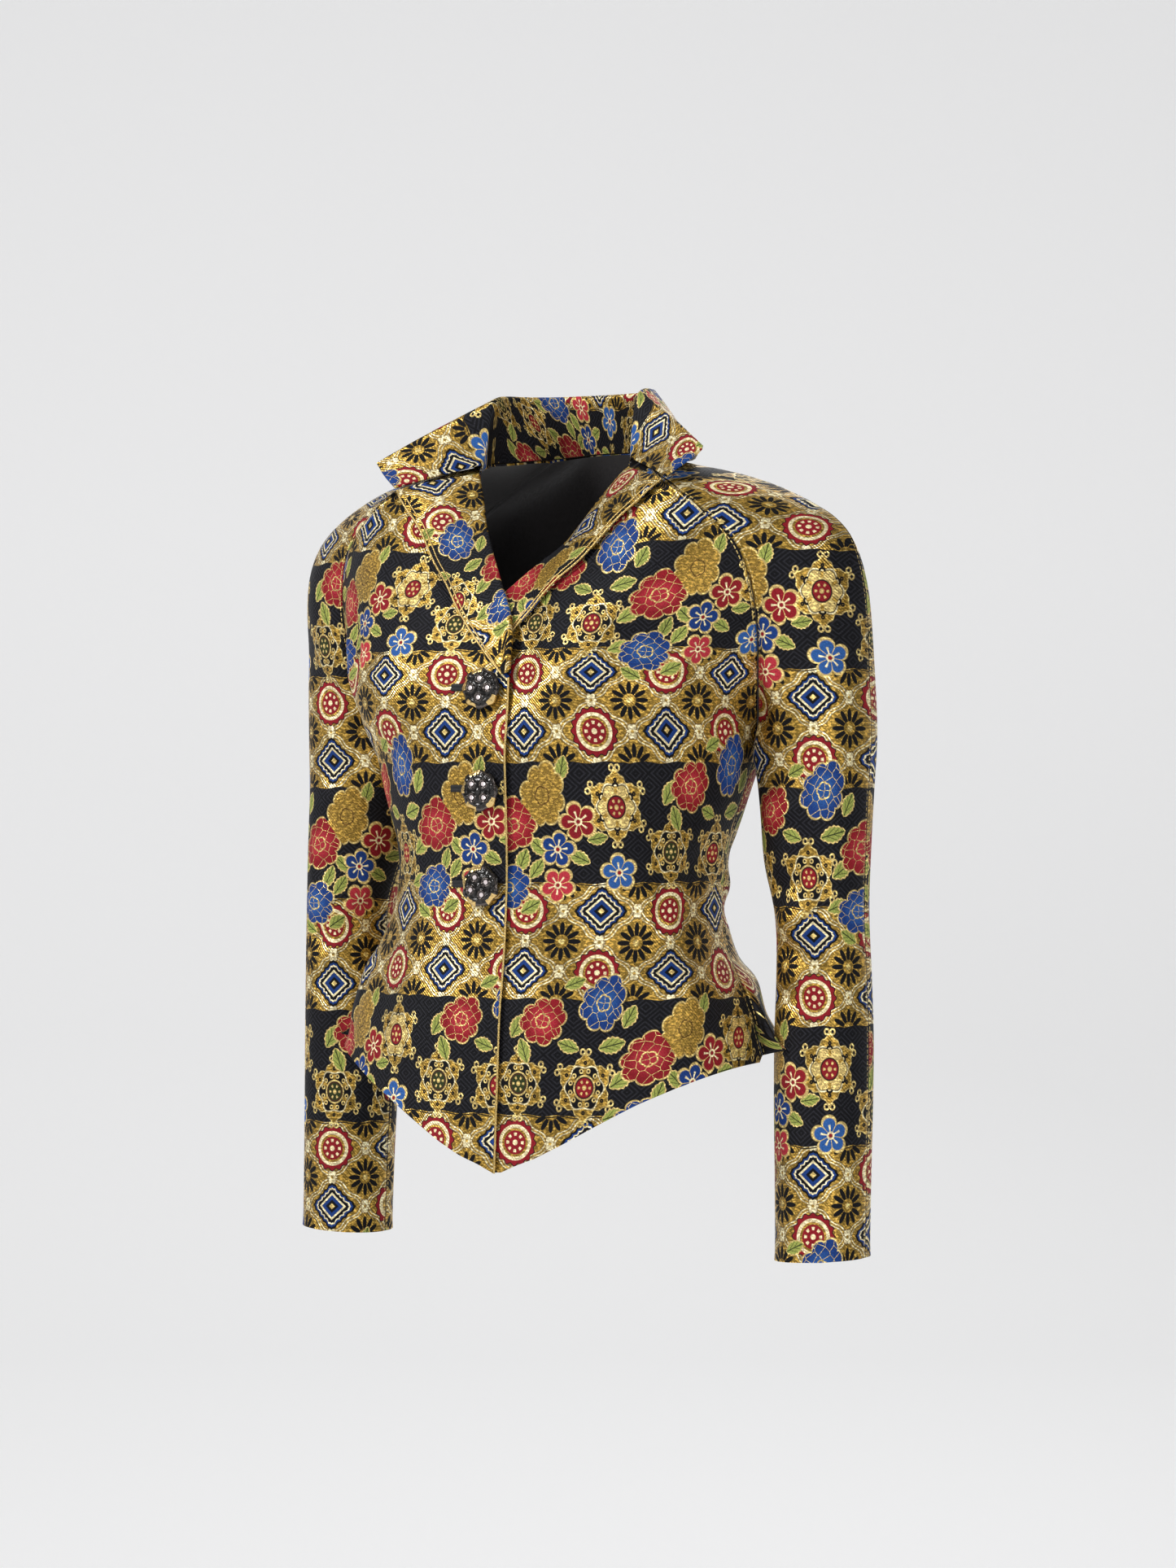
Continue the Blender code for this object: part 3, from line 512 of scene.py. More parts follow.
def draw_in(grid, sides):
    """Move the named sides of a grid in by half the fine gap that pressed seams keep."""
    result = grid.copy()
    ends = {"first column": (0, 1), "last column": (-1, -2)}
    for name in sides:
        edge, inner = ends[name]
        step = grid[:, inner] - grid[:, edge]
        step /= np.maximum(np.linalg.norm(step, axis=1, keepdims=True), 1e-9)
        result[:, edge] += 0.5 * CLOSED_SEAM * step
    return result


def mirrored(grid):
    return grid * np.array((-1.0, 1.0, 1.0))


def panel_lay(side, point):
    """How far a front is lifted or sunk where the right front laps over the left."""
    x = point[0]
    z = point[2]
    if side < 0:
        return RIGHT_LIFT * smooth_step(x, *RIGHT_LAP)
    near_lapel = smooth_step(z, *LAPEL_END)
    drop = LEFT_DROP + (LEFT_DROP_AT_LAPEL - LEFT_DROP) * near_lapel
    return -drop * (1 - smooth_step(x, *LEFT_LAP))


class PanelFinder:
    """Finds the point and normal of a front panel at x and z, as it is seen from the front."""

    def __init__(self, grid, normals):
        corners = []
        rows, columns = grid.shape[:2]
        i, j = np.meshgrid(np.arange(rows - 1), np.arange(columns - 1), indexing="ij")
        i = i.ravel()
        j = j.ravel()
        for di, dj, ei, ej in ((1, 0, 1, 1), (1, 1, 0, 1)):
            corners.append(np.stack((i, j, i + di, j + dj, i + ei, j + ej), axis=1))
        index = np.concatenate(corners)
        self.points = [grid[index[:, k], index[:, k + 1]] for k in (0, 2, 4)]
        self.normals = [normals[index[:, k], index[:, k + 1]] for k in (0, 2, 4)]
        a, b, c = self.points
        det = (b[:, 0] - a[:, 0]) * (c[:, 2] - a[:, 2]) - (c[:, 0] - a[:, 0]) * (b[:, 2] - a[:, 2])
        self.det = np.where(np.abs(det) < 1e-13, np.nan, det)

    def at(self, x, z):
        a, b, c = self.points
        u = ((x - a[:, 0]) * (c[:, 2] - a[:, 2]) - (c[:, 0] - a[:, 0]) * (z - a[:, 2])) / self.det
        v = ((b[:, 0] - a[:, 0]) * (z - a[:, 2]) - (x - a[:, 0]) * (b[:, 2] - a[:, 2])) / self.det
        outside = np.maximum(np.maximum(-u, -v), np.maximum(u + v - 1, 0.0))
        k = int(np.nanargmin(outside))
        weights = (1 - u[k] - v[k], u[k], v[k])
        point = sum(w * p[k] for w, p in zip(weights, self.points))
        normal = sum(w * n[k] for w, n in zip(weights, self.normals))
        return point, normal / np.linalg.norm(normal)


def add_object(name, mesh_builder, looks, sharp=50):
    mesh = bpy.data.meshes.new(name)
    mesh_builder.to_mesh(mesh)
    mesh_builder.free()
    for look in looks:
        mesh.materials.append(look)
    mesh.shade_smooth()
    mesh.set_sharp_from_angle(angle=math.radians(sharp))
    made = bpy.data.objects.new(name, mesh)
    bpy.context.scene.collection.objects.link(made)
    return made


def rim_distance(grid):
    """Distance of every point from the two side rims of its piece."""
    along = np.linalg.norm(np.diff(grid, axis=1, prepend=grid[:, :1]), axis=2).cumsum(axis=1)
    return along, along[:, -1:] - along


def run_down(grid):
    """Distance of every point from the top rim of its piece."""
    return np.linalg.norm(np.diff(grid, axis=0, prepend=grid[:1]), axis=2).cumsum(axis=0)


def cloth_sheet(name, outer, inner, cloth, looks, seams=()):
    """Closed thin piece between two grids; cloth holds each point's place on the bolt, in metres.

    The map "edge" holds the distance from the nearest of the named seams, and the way down the piece.
    """
    rows, columns = outer.shape[:2]
    builder = bmesh.new()
    layer = builder.loops.layers.uv.new("cloth")
    edge_layer = builder.loops.layers.uv.new("edge")
    down = run_down(outer)
    from_side = np.full(down.shape, 1.0)
    for seam, gap in zip(("first column", "last column"), rim_distance(outer)):
        if seam in seams:
            from_side = np.minimum(from_side, gap)
    front = [[builder.verts.new(outer[i, j]) for j in range(columns)] for i in range(rows)]
    back = [[builder.verts.new(inner[i, j]) for j in range(columns)] for i in range(rows)]
    place = {}
    for i in range(rows):
        for j in range(columns):
            where = (cloth[i, j, 0], cloth[i, j, 1], from_side[i, j], down[i, j])
            place[front[i][j]] = where
            place[back[i][j]] = where
    for i in range(rows - 1):
        for j in range(columns - 1):
            builder.faces.new((front[i][j], front[i + 1][j], front[i + 1][j + 1], front[i][j + 1]))
            face = builder.faces.new((back[i][j], back[i][j + 1], back[i + 1][j + 1], back[i + 1][j]))
            face.material_index = 1
    rim = [(i, 0) for i in range(rows)]
    rim += [(rows - 1, j) for j in range(1, columns)]
    rim += [(i, columns - 1) for i in range(rows - 2, -1, -1)]
    rim += [(0, j) for j in range(columns - 2, 0, -1)]
    for (a, b), (c, d) in zip(rim, rim[1:] + rim[:1]):
        builder.faces.new((front[c][d], front[a][b], back[a][b], back[c][d]))
    for face in builder.faces:
        for loop in face.loops:
            u, v, side, length = place[loop.vert]
            loop[layer].uv = (u, v)
            loop[edge_layer].uv = (side, length)
    bmesh.ops.recalc_face_normals(builder, faces=builder.faces)
    return add_object(name, builder, looks)


def arc_excess(parts):
    """How much longer an arc is than its chord for a surface that turns away, by its normal."""
    angle = np.arcsin(np.clip(parts, -1.0, 1.0))
    return angle - np.sin(angle)


def body_cloth(side, grid, normals):
    """Cloth coordinates of a body panel: distance round the body, height along the cloth."""
    steps = np.diff(grid, axis=1, prepend=grid[:, :1])
    around = np.hypot(steps[:, :, 0], steps[:, :, 1]).cumsum(axis=1)
    u = side * (side * grid[:, :1, 0] + around)
    v = grid[:, :, 2] + SHOULDER_SLOPE * arc_excess(np.maximum(normals[:, :, 2], 0.0))
    if normals[:, :, 1].mean() < 0:
        v = v - BUST_TAKE_UP * np.exp(-((grid[:, :, 2] - BUST_LEVEL) / BUST_SPREAD) ** 2)
    return np.stack((u, v), axis=2)


def sleeve_cloth(side, grid, normals):
    """Cloth coordinates of half a sleeve: its width opened flat, its length scaled to the arm."""
    level = np.maximum(np.hypot(normals[:, :, 0], normals[:, :, 1]), LEAST_LEVEL)
    u = grid[:, :, 0] + side * SLEEVE_ROUND * arc_excess(side * normals[:, :, 0] / level)
    v = grid[:, :, 2] + SHOULDER_SLOPE * arc_excess(np.maximum(normals[:, :, 2], 0.0))
    below = v - SLEEVE_BREAK
    v = SLEEVE_BREAK + SLEEVE_SHIFT + np.where(below < 0, SLEEVE_RATE * below, below)
    return np.stack((u, v), axis=2)


def crease_depth(side, kind, cloth):
    """Soft troughs and ridges along short lines on the cloth; the two sides differ a little."""
    u = side * cloth[:, :, 0]
    v = cloth[:, :, 1] - CREASE_DRIFT[side]
    depth = np.zeros(u.shape)
    for u0, v0, u1, v1, width, sink in CREASES[kind]:
        du = u1 - u0
        dv = v1 - v0
        length = math.hypot(du, dv)
        share = ((u - u0) * du + (v - v0) * dv) / length ** 2
        off = ((u - u0) * dv - (v - v0) * du) / length
        bend = CREASE_BEND * length * (0.25 - (share - 0.5) ** 2)
        fade = np.exp(-CREASE_FADE * np.maximum(0.0, np.abs(share - 0.5) - CREASE_CORE) ** 2)
        depth += sink * fade * np.exp(-0.5 * ((off + bend) / width) ** 2)
    return depth * CREASE_STRENGTH[side] * (SLEEVE_CREASE_FACTOR if "sleeve" in kind else 1.0)


def path_distance(grid, path):
    """Distance of every point of a panel, seen from the front, from a line given as x and z."""
    best = np.full(grid.shape[:2], 1.0)
    for (x0, z0), (x1, z1) in zip(path, path[1:]):
        dx = x1 - x0
        dz = z1 - z0
        share = ((grid[:, :, 0] - x0) * dx + (grid[:, :, 2] - z0) * dz) / (dx * dx + dz * dz)
        share = np.clip(share, 0.0, 1.0)
        gap = np.hypot(grid[:, :, 0] - x0 - share * dx, grid[:, :, 2] - z0 - share * dz)
        best = np.minimum(best, gap)
    return best


# Dart of the left front, from the bust to the hem: x, z. The right front mirrors it.
DART = [
    (.1180, -.2100), (.1140, -.2380), (.1115, -.2677), (.1110, -.3200), (.1190, -.3805),
    (.1340, -.4340), (.1420, -.4590), (.1440, -.4760)]

SENSES = {"front": -1, "back": 1, "sleeve_front": 1, "sleeve_back": -1}
CREASES = {
    "front": FRONT_CREASES, "back": BACK_CREASES,
    "sleeve_front": SLEEVE_FRONT_CREASES, "sleeve_back": SLEEVE_BACK_CREASES}


def trough(gap, depth, half_width):
    return depth * np.exp(-(gap / half_width) ** 2)


def soften(kind, side, grid, normals, cloth):
    """Press creases, sunk seams and the dart into a piece along its normals."""
    first, last = rim_distance(grid)
    from_seam = last if kind in ("front", "back") else np.minimum(first, last)
    seam = trough(from_seam, SEAM_SINK, SEAM_HALF_WIDTH)
    if kind in ("front", "back"):
        seam *= np.clip((grid[:, :, 2] - SEAM_SINK_END) / SEAM_SINK_FADE, 0.0, 1.0)
    depth = seam + crease_depth(side, kind, cloth) * np.clip(from_seam / CREASE_RIM, 0.0, 1.0)
    if kind == "front":
        gap = path_distance(grid, [(side * x, z) for x, z in DART])
        depth += trough(gap, DART_SINK, DART_HALF_WIDTH)
        depth -= trough(gap, DART_SWELL, DART_SWELL_HALF_WIDTH)
    return grid - depth[:, :, None] * normals


def build_grids():
    """Outer grids, normals and cloth coordinates of the eight main pieces."""
    front = {side: front_keys(side) for side in (1, -1)}
    back = back_keys()
    _, side_lower = seam_points(back[:, -1])
    half_front = sleeve_grid(sleeve_keys(front[1][:, -1], FRONT_RIDGE_HANDLES, FRONT_SEAM_HANDLES, -1))
    half_back = sleeve_grid(sleeve_keys(back[:, -1], BACK_RIDGE_HANDLES, BACK_SEAM_HANDLES, 1))
    back_grid = relaxed(panel_grid(back, side_lower), BACK_EASING)
    half_front = relaxed(half_front, SLEEVE_EASING)
    half_back = relaxed(half_back, SLEEVE_EASING)
    cap = range(CAP_ROWS)
    everything = range(half_front.shape[0])
    made = {}
    for side in (1, -1):
        grid = relaxed(panel_grid(front[side], side_lower), FRONT_EASING)
        flip = (lambda g: g) if side > 0 else mirrored
        pieces = {
            "front": flip(grid), "back": flip(back_grid),
            "sleeve_front": flip(half_front), "sleeve_back": flip(half_back)}
        normals = {key: -grid_normals(pieces[key], side * SENSES[key]) for key in pieces}
        lay = np.array([[panel_lay(side, p) for p in row] for row in pieces["front"]])
        pieces["front"] = pieces["front"] + lay[:, :, None] * normals["front"]
        for key, piece in pieces.items():
            make = body_cloth if key in ("front", "back") else sleeve_cloth
            cloth = make(side, piece, normals[key])
            piece = soften(key, side, piece, normals[key], cloth)
            made[key, side] = (piece, -grid_normals(piece, side * SENSES[key]), cloth)
        below = range(CAP_ROWS - 1, grid.shape[0])
        arm = range(CAP_ROWS - 1, half_front.shape[0])
        normals = {key: made[key, side][1] for key in pieces}
        share_normals(normals["front"], cap, -1, normals["sleeve_front"], cap, -1)
        share_normals(normals["back"], cap, -1, normals["sleeve_back"], cap, -1)
        share_normals(normals["front"], below, -1, normals["back"], below, -1)
        share_normals(normals["sleeve_front"], arm, -1, normals["sleeve_back"], arm, -1)
        share_normals(normals["sleeve_front"], everything, 0, normals["sleeve_back"], everything, 0)
        normals["back"][:, 0, 0] = 0.0
        normals["back"][:, 0] /= np.linalg.norm(normals["back"][:, 0], axis=1, keepdims=True)
    return made, front[1], back


SEAM_SIDES = {
    "front": ["last column"], "back": ["first column", "last column"],
    "sleeve_front": ["first column", "last column"],
    "sleeve_back": ["first column", "last column"]}


def flat_area(grid):
    """Area of a grid of points, in square metres."""
    across = np.diff(grid, axis=1)[:-1]
    down = np.diff(grid, axis=0)[:, :-1]
    return float(np.linalg.norm(np.cross(across, down), axis=2).sum())


def declare(piece, grid, node):
    """Ride on the body and stand for the CAD node; the flat cut is measured but not stated."""
    across = np.linalg.norm(np.diff(grid, axis=1), axis=2).sum(axis=1).max()
    down = np.linalg.norm(np.diff(grid, axis=0), axis=2).sum(axis=0).max()
    area = flat_area(grid)
    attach(piece, "root")
    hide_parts(node)


def on_bolt(kind, side, cloth):
    """Cloth coordinates measured from the place on the bolt where the piece was cut."""
    return cloth - np.array(BOLT_PLACES[kind, side])


def build_panels(made, looks):
    for (kind, side), (outer, normals, cloth) in made.items():
        name = "%s_%s" % (kind, "left" if side > 0 else "right")
        sides = SEAM_SIDES[kind]
        inner = draw_in(outer - WALL * normals, sides)
        place = on_bolt(kind, side, cloth)
        piece = cloth_sheet(name + "_cloth", draw_in(outer, sides), inner, place, looks, sides)
        declare(piece, outer, name)


def lapel_rows(side, finder):
    """Rows of a lapel: outer and inner points from the rolled fold out to the edge."""
    roll = np.array(LAPEL_ROLL)
    edge = np.array(LAPEL_EDGE)
    outer = []
    inner = []
    for t in np.linspace(0, len(roll) - 1, LAPEL_ROWS):
        start = spline(roll, t)
        end = spline(edge, t)
        row_outer = []
        row_inner = []
        for f in np.linspace(0, 1, LAPEL_COLUMNS):
            x, z = start + f * (end - start)
            point, normal = finder.at(side * x, z)
            free = smooth_step(-z, *LAPEL_FREE) * smooth_step(z, *LAPEL_HELD)
            corner = smooth_step(z, *LAPEL_CORNER)
            rise = LAPEL_CLEARANCE + f * (LAPEL_FREE_RISE * free + LAPEL_CORNER_RISE * corner)
            rise += LAPEL_BOW * math.sin(math.pi * f) * free
            row_inner.append(point + rise * normal)
            row_outer.append(point + (rise + LAPEL_WALL) * normal)
        base, normal = finder.at(side * start[0], start[1])
        outward = row_outer[0] - row_outer[1]
        outward -= np.dot(outward, normal) * normal
        outward /= np.linalg.norm(outward)
        top = LAPEL_CLEARANCE + LAPEL_WALL
        low = -WALL - ROLL_BACK
        centre = base + 0.5 * (top + low) * normal
        radius = 0.5 * (top - low)
        fold_outer = []
        fold_inner = []
        for a in np.linspace(math.pi, 0, ROLL_STEPS)[:-1]:
            turn = math.cos(a) * normal + math.sin(a) * outward
            fold_outer.append(centre + radius * turn)
            fold_inner.append(centre + (radius - ROLL_WALL) * turn)
        outer.append(fold_outer + row_outer)
        inner.append(fold_inner + row_inner)
    return np.array(outer), np.array(inner)


def build_lapel(side, finder, looks):
    outer, inner = lapel_rows(side, finder)
    along, _ = rim_distance(outer)
    cloth = on_bolt("lapel", side, np.stack((side * along, -run_down(outer)), axis=2))
    name = "lapel_left" if side > 0 else "lapel_right"
    declare(cloth_sheet(name + "_cloth", outer, inner, cloth, looks), outer, name)
    return outer


def neck_seam(q, front, back):
    """Point of the neckline for q from 0 at the centre back to 1 at the gorge."""
    back_row = back[0]
    front_row = front[0][::-1]
    shoulder = [np.array(p) for p in ((.0620, .0310, .0034), (.0695, .0150, .0012), (.0720, 0, 0))]
    path = list(back_row[::12]) + [back_row[-1]] + shoulder + list(front_row[::15])
    keys = np.array(path)
    steps = np.linalg.norm(np.diff(keys, axis=0), axis=1)
    keep = [0] + [i + 1 for i, s in enumerate(steps) if s > 0.5 * MM]
    return spread(keys[keep], [q])[0]


def collar_section(k, crest, edge, base, last):
    """Stand, fold and fall of the collar on one line out from the neck."""
    out = edge - crest
    out[2] = 0
    out /= np.linalg.norm(out)
    up = np.array((0.0, 0.0, 1.0))
    radius = COLLAR_FOLD_RADIUS
    stand_top = crest - radius * out - radius * up
    slope = math.atan2(float(np.dot(edge - crest, out)), float(crest[2] - edge[2]))
    section = [base + f * (stand_top - base) for f in np.linspace(0, 1, STAND_STEPS)[:-1]]
    for share in np.linspace(0, 1, FOLD_STEPS):
        a = math.pi + share * (slope - math.pi)
        section.append(crest - radius * up + radius * (math.cos(a) * out + math.sin(a) * up))
    fall = edge - section[-1]
    bow = COLLAR_BOW * (math.cos(slope) * out + math.sin(slope) * up) * (k < last)
    first = section[-1] + 0.33 * fall + bow
    second = section[-1] + 0.67 * fall + bow
    section += list(curve(section[-1], first, second, edge, FALL_STEPS)[1:])
    return section


def build_collar(front, back, looks):
    crests = np.array(COLLAR_CREST)
    edges = np.array(COLLAR_EDGE)
    last = len(crests) - 1
    half = []
    for k in np.linspace(0, last, COLLAR_ROWS):
        crest = spline(crests, k)
        edge = spline(edges, k)
        base = neck_seam(min(1.0, k / last), front, back)
        inward = np.array((base[0], base[1], 0.0))
        inward /= np.linalg.norm(inward)
        base = base - STAND_INSET * inward + np.array((0, 0, STAND_LIFT))
        half.append(collar_section(k, crest, edge, base, last))
    half = np.array(half)
    grid = np.concatenate((mirrored(half[:0:-1]), half))
    normals = grid_normals(grid, 1)
    centre = grid.shape[0] // 2
    if normals[centre, -1][1] < 0:
        normals = -normals
    _, rise = rim_distance(grid)
    run = run_down(grid)
    middle = run[:, COLLAR_MIDDLE] - run[centre, COLLAR_MIDDLE]
    u = np.repeat(COLLAR_EASE * middle[:, None], grid.shape[1], axis=1)
    cloth = on_bolt("collar", 1, np.stack((u, rise), axis=2))
    piece = cloth_sheet("collar_cloth", grid, grid - WALL * normals, cloth, looks)
    declare(piece, grid, "collar")


class Field:
    """A number that varies over a surface, put together from Math nodes."""

    def __init__(self, tree, socket):
        self.tree = tree
        self.socket = socket

    def math(self, operation, *others, clamp=False):
        inputs = enumerate((self,) + others)
        node = add_node(self.tree, "ShaderNodeMath", inputs, operation=operation, use_clamp=clamp)
        return Field(self.tree, node.outputs[0])

    def __add__(self, other):
        return self.math("ADD", other)

    def __sub__(self, other):
        return self.math("SUBTRACT", other)

    def __mul__(self, other):
        return self.math("MULTIPLY", other)

    def __truediv__(self, other):
        return self.math("DIVIDE", other)

    def scaled(self, factor, offset, clamp=False):
        return self.math("MULTIPLY_ADD", factor, offset, clamp=clamp)

    def minus_from(self, value):
        return self.scaled(-1.0, value)

    def below(self, at, soft):
        """1 where the number is below the value at, 0 above it, with a soft step of that width."""
        return self.scaled(-1.0 / soft, 0.5 + at / soft, clamp=True)

    def above(self, at, soft):
        return self.scaled(1.0 / soft, 0.5 - at / soft, clamp=True)

    def least(self, other):
        return self.math("MINIMUM", other)

    def most(self, other):
        return self.math("MAXIMUM", other)

    def size(self):
        return self.math("ABSOLUTE")

    def sine(self, count, shift=0.0):
        return self.scaled(count, shift).math("SINE")

    def cosine(self, count, shift=0.0):
        return self.scaled(count, shift).math("COSINE")

    def line(self, at, half_width, soft):
        """1 close to the value at, 0 elsewhere."""
        return (self - at).size().below(half_width, soft)


def feed(tree, socket, value):
    """Link a socket to a field or to another socket, or give it a constant."""
    if isinstance(value, Field):
        value = value.socket
    if isinstance(value, bpy.types.NodeSocket):
        tree.links.new(value, socket)
    else:
        socket.default_value = value


def add_node(tree, kind, inputs=(), **settings):
    """New node with its settings; inputs pairs a socket's number or name with what feeds it."""
    node = tree.nodes.new(kind)
    for name, value in settings.items():
        setattr(node, name, value)
    for key, value in inputs:
        feed(tree, node.inputs[key], value)
    return node


# Sockets of a Mix node for each kind of value: below, above, result.
MIX_SOCKETS = {"FLOAT": (2, 3, 0), "VECTOR": (4, 5, 1), "RGBA": (6, 7, 2)}


def blend(tree, kind, mask, below, above):
    low, high, result = MIX_SOCKETS[kind]
    inputs = ((0, mask), (low, below), (high, above))
    return add_node(tree, "ShaderNodeMix", inputs, data_type=kind).outputs[result]


def coordinates(tree, vector):
    """The first two numbers of a vector."""
    parts = add_node(tree, "ShaderNodeSeparateXYZ", ((0, vector),))
    return Field(tree, parts.outputs[0]), Field(tree, parts.outputs[1])


def distance(x, y):
    return (x * x + y * y).math("SQRT")


def noise(tree, vector, scale, detail):
    inputs = (("Vector", vector), ("Scale", scale), ("Detail", detail))
    return Field(tree, add_node(tree, "ShaderNodeTexNoise", inputs).outputs[0])


def tinted(tree, colour, tone):
    node = add_node(tree, "ShaderNodeVectorMath", ((0, colour), (3, tone)), operation="SCALE")
    return node.outputs[0]


def add_bump(tree, shader, height, strength, depth):
    inputs = (("Height", height), ("Strength", strength), ("Distance", depth))
    feed(tree, shader.inputs["Normal"], add_node(tree, "ShaderNodeBump", inputs).outputs[0])


def new_material(name):
    """A material with nodes, its node tree and its main shader."""
    made = bpy.data.materials.new(name)
    made.use_nodes = True
    return made, made.node_tree, made.node_tree.nodes["Principled BSDF"]


class Layers:
    """Colours and metal share painted one over the other by masks."""

    def __init__(self, tree, colour, metal):
        self.tree = tree
        self.colour = (*colour, 1.0)
        self.metal = metal

    def paint(self, mask, colour, metal):
        if isinstance(colour, tuple):
            colour = (*colour, 1.0)
        self.colour = blend(self.tree, "RGBA", mask, self.colour, colour)
        self.metal = blend(self.tree, "FLOAT", mask, self.metal, metal)

    def paint_rows(self, rows, share=None):
        """Paint rows of mask, colour and metal share, each only where the given share is 1."""
        for mask, colour, metal in rows:
            self.paint(mask if share is None else mask * share, colour, metal)


# Thread colours, linear.
OCHRE = (.455, .280, .056)
DEEP_OCHRE = (.150, .074, .014)
PALE_GOLD = (.820, .600, .220)
WHITE_GOLD = (1.0, .850, .500)
BLACK = (.0045, .0045, .0060)
SOFT_BLACK = (.020, .020, .025)
RED = (.260, .011, .018)
CORAL = (.480, .035, .052)
ROYAL = (.011, .044, .200)
BLUE_LIGHT = (.029, .112, .360)
LEAF = (.340, .380, .085)
DARK_LEAF = (.030, .040, .012)

# The cloth's repeat, in metres: height of a band, top of the first black band, medallion spacing.
BAND = 0.0846
TOP_BAND = -0.070
COLUMN = 0.056
ROW = 0.0440
REPEAT = 4 * COLUMN
CLUSTER_START = 0.025
BAND_WAVE_LENGTH = 28.0 * MM
BAND_WAVE_HEIGHT = 0.7 * MM
THREAD = 0.4 * MM
FINE_THREAD = 0.3 * MM
PETAL_FULLNESS = 0.55

# Flowers of one repeat, in millimetres from its start and the black band's upper edge:
# across, down, half width, half height, turn in degrees, kind.
KINDS = ("red", "blue", "gold", "light", "coral", "green", "white")
PEONIES = [
    (44, 16, 18.0, 17.5, 20, "red"), (124, 43, 23.0, 18.0, -15, "red"),
    (88, 2, 17.0, 21.0, 10, "blue"), (120, 88, 21.0, 16.0, 5, "blue"),
    (150, 22, 18.5, 21.0, 0, "gold")]
BLOSSOMS = [
    (176, 40, 14.5, 14.5, 0, "red"), (160, 60, 14.0, 14.0, 30, "blue"),
    (206, 77, 14.5, 14.5, 10, "light"), (160, 86, 13.0, 14.0, 55, "coral")]
ROSETTES = [
    (26, 62, 23.5, 26.5, 0, "green"), (77, 64, 23.5, 27.5, 0, "red"), (205, 30, 24.0, 28.0, 0, "white")]
LEAVES = [
    (24, 20, 6.5, 10.5, 30), (30, 38, 6.0, 10.5, -20), (108, 12, 6.0, 10.0, 25),
    (96, 33, 6.5, 11.0, 75), (104, 58, 6.5, 11.0, 55), (146, 58, 6.0, 10.0, -50),
    (133, 68, 6.0, 10.0, 20), (100, 84, 6.0, 10.0, 70), (140, 102, 6.0, 9.5, 60),
    (110, 106, 6.0, 9.5, -60), (144, 74, 5.5, 9.5, 35), (176, 66, 5.5, 9.5, -65),
    (166, 4, 5.5, 9.5, 15), (190, 52, 5.0, 8.5, 80), (64, 34, 5.5, 9.0, -70), (66, -12, 5.5, 9.0, 65)]


def nearest(tree, place, table):
    """Place within the nearest flower of a table, its length (1 at the rim) and its kind's number."""
    best = None
    for row in table:
        across, down, half_width, half_height, turn = row[:5]
        kind = float(KINDS.index(row[5])) if len(row) > 5 else 0.0
        start = (across * MM, down * MM, 0.0)
        shift = add_node(tree, "ShaderNodeVectorMath", ((0, place), (1, start)), operation="SUBTRACT")
        ends = ((1, (0.5 * REPEAT, 1.0, 1.0)), (2, (-0.5 * REPEAT, -1.0, -1.0)))
        wrap = add_node(
            tree, "ShaderNodeVectorMath", ((0, shift.outputs[0]), *ends), operation="WRAP")
        sizes = (half_width * MM, half_height * MM, 1.0)
        inputs = (
            (0, wrap.outputs[0]), ("Rotation", (0.0, 0.0, math.radians(turn))), ("Scale", sizes))
        local = add_node(tree, "ShaderNodeMapping", inputs, vector_type="TEXTURE").outputs[0]
        length = add_node(tree, "ShaderNodeVectorMath", ((0, local),), operation="LENGTH")
        radius = Field(tree, length.outputs["Value"])
        if best is None:
            best, least, code = local, radius, kind
            continue
        nearer = radius.math("LESS_THAN", least)
        best = blend(tree, "VECTOR", nearer, best, local)
        code = blend(tree, "FLOAT", nearer, code, kind)
        least = least.least(radius)
    return best, least, Field(tree, code)


def angle_of(tree, vector):
    x, y = coordinates(tree, vector)
    return y.math("ARCTAN2", x)


def petals(angle, count, shift, depth):
    """Outline of a flower: 1 at the petal tips, 1 - depth between them."""
    lobes = angle.sine(0.5 * count, shift).size().math("POWER", PETAL_FULLNESS)
    return lobes.scaled(depth, 1 - depth)


def is_kind(code, kind):
    return (code - float(KINDS.index(kind))).size().math("LESS_THAN", 0.5)


def paint_leaves(layers, place):
    """Pointed leaves with a notched pale rim, a vein and ribs."""
    local, _, _ = nearest(layers.tree, place, LEAVES)
    x, y = coordinates(layers.tree, local)
    across = x.size()
    leaf = across + y * y - 1.0 + y.math("PINGPONG", 0.16).scaled(-0.9, 0.08)
    vein = across.below(0.07, 0.06) * leaf.below(-0.30, 0.10)
    ribs = (across + y).math("PINGPONG", 0.26).below(0.05, 0.06) * leaf.below(-0.34, 0.10)
    layers.paint_rows((
        (leaf.below(-0.02, 0.08), PALE_GOLD, 0.5),
        (leaf.below(-0.20, 0.08), LEAF, 0.0),
        (vein.most(ribs * 0.8), DARK_LEAF, 0.0)))


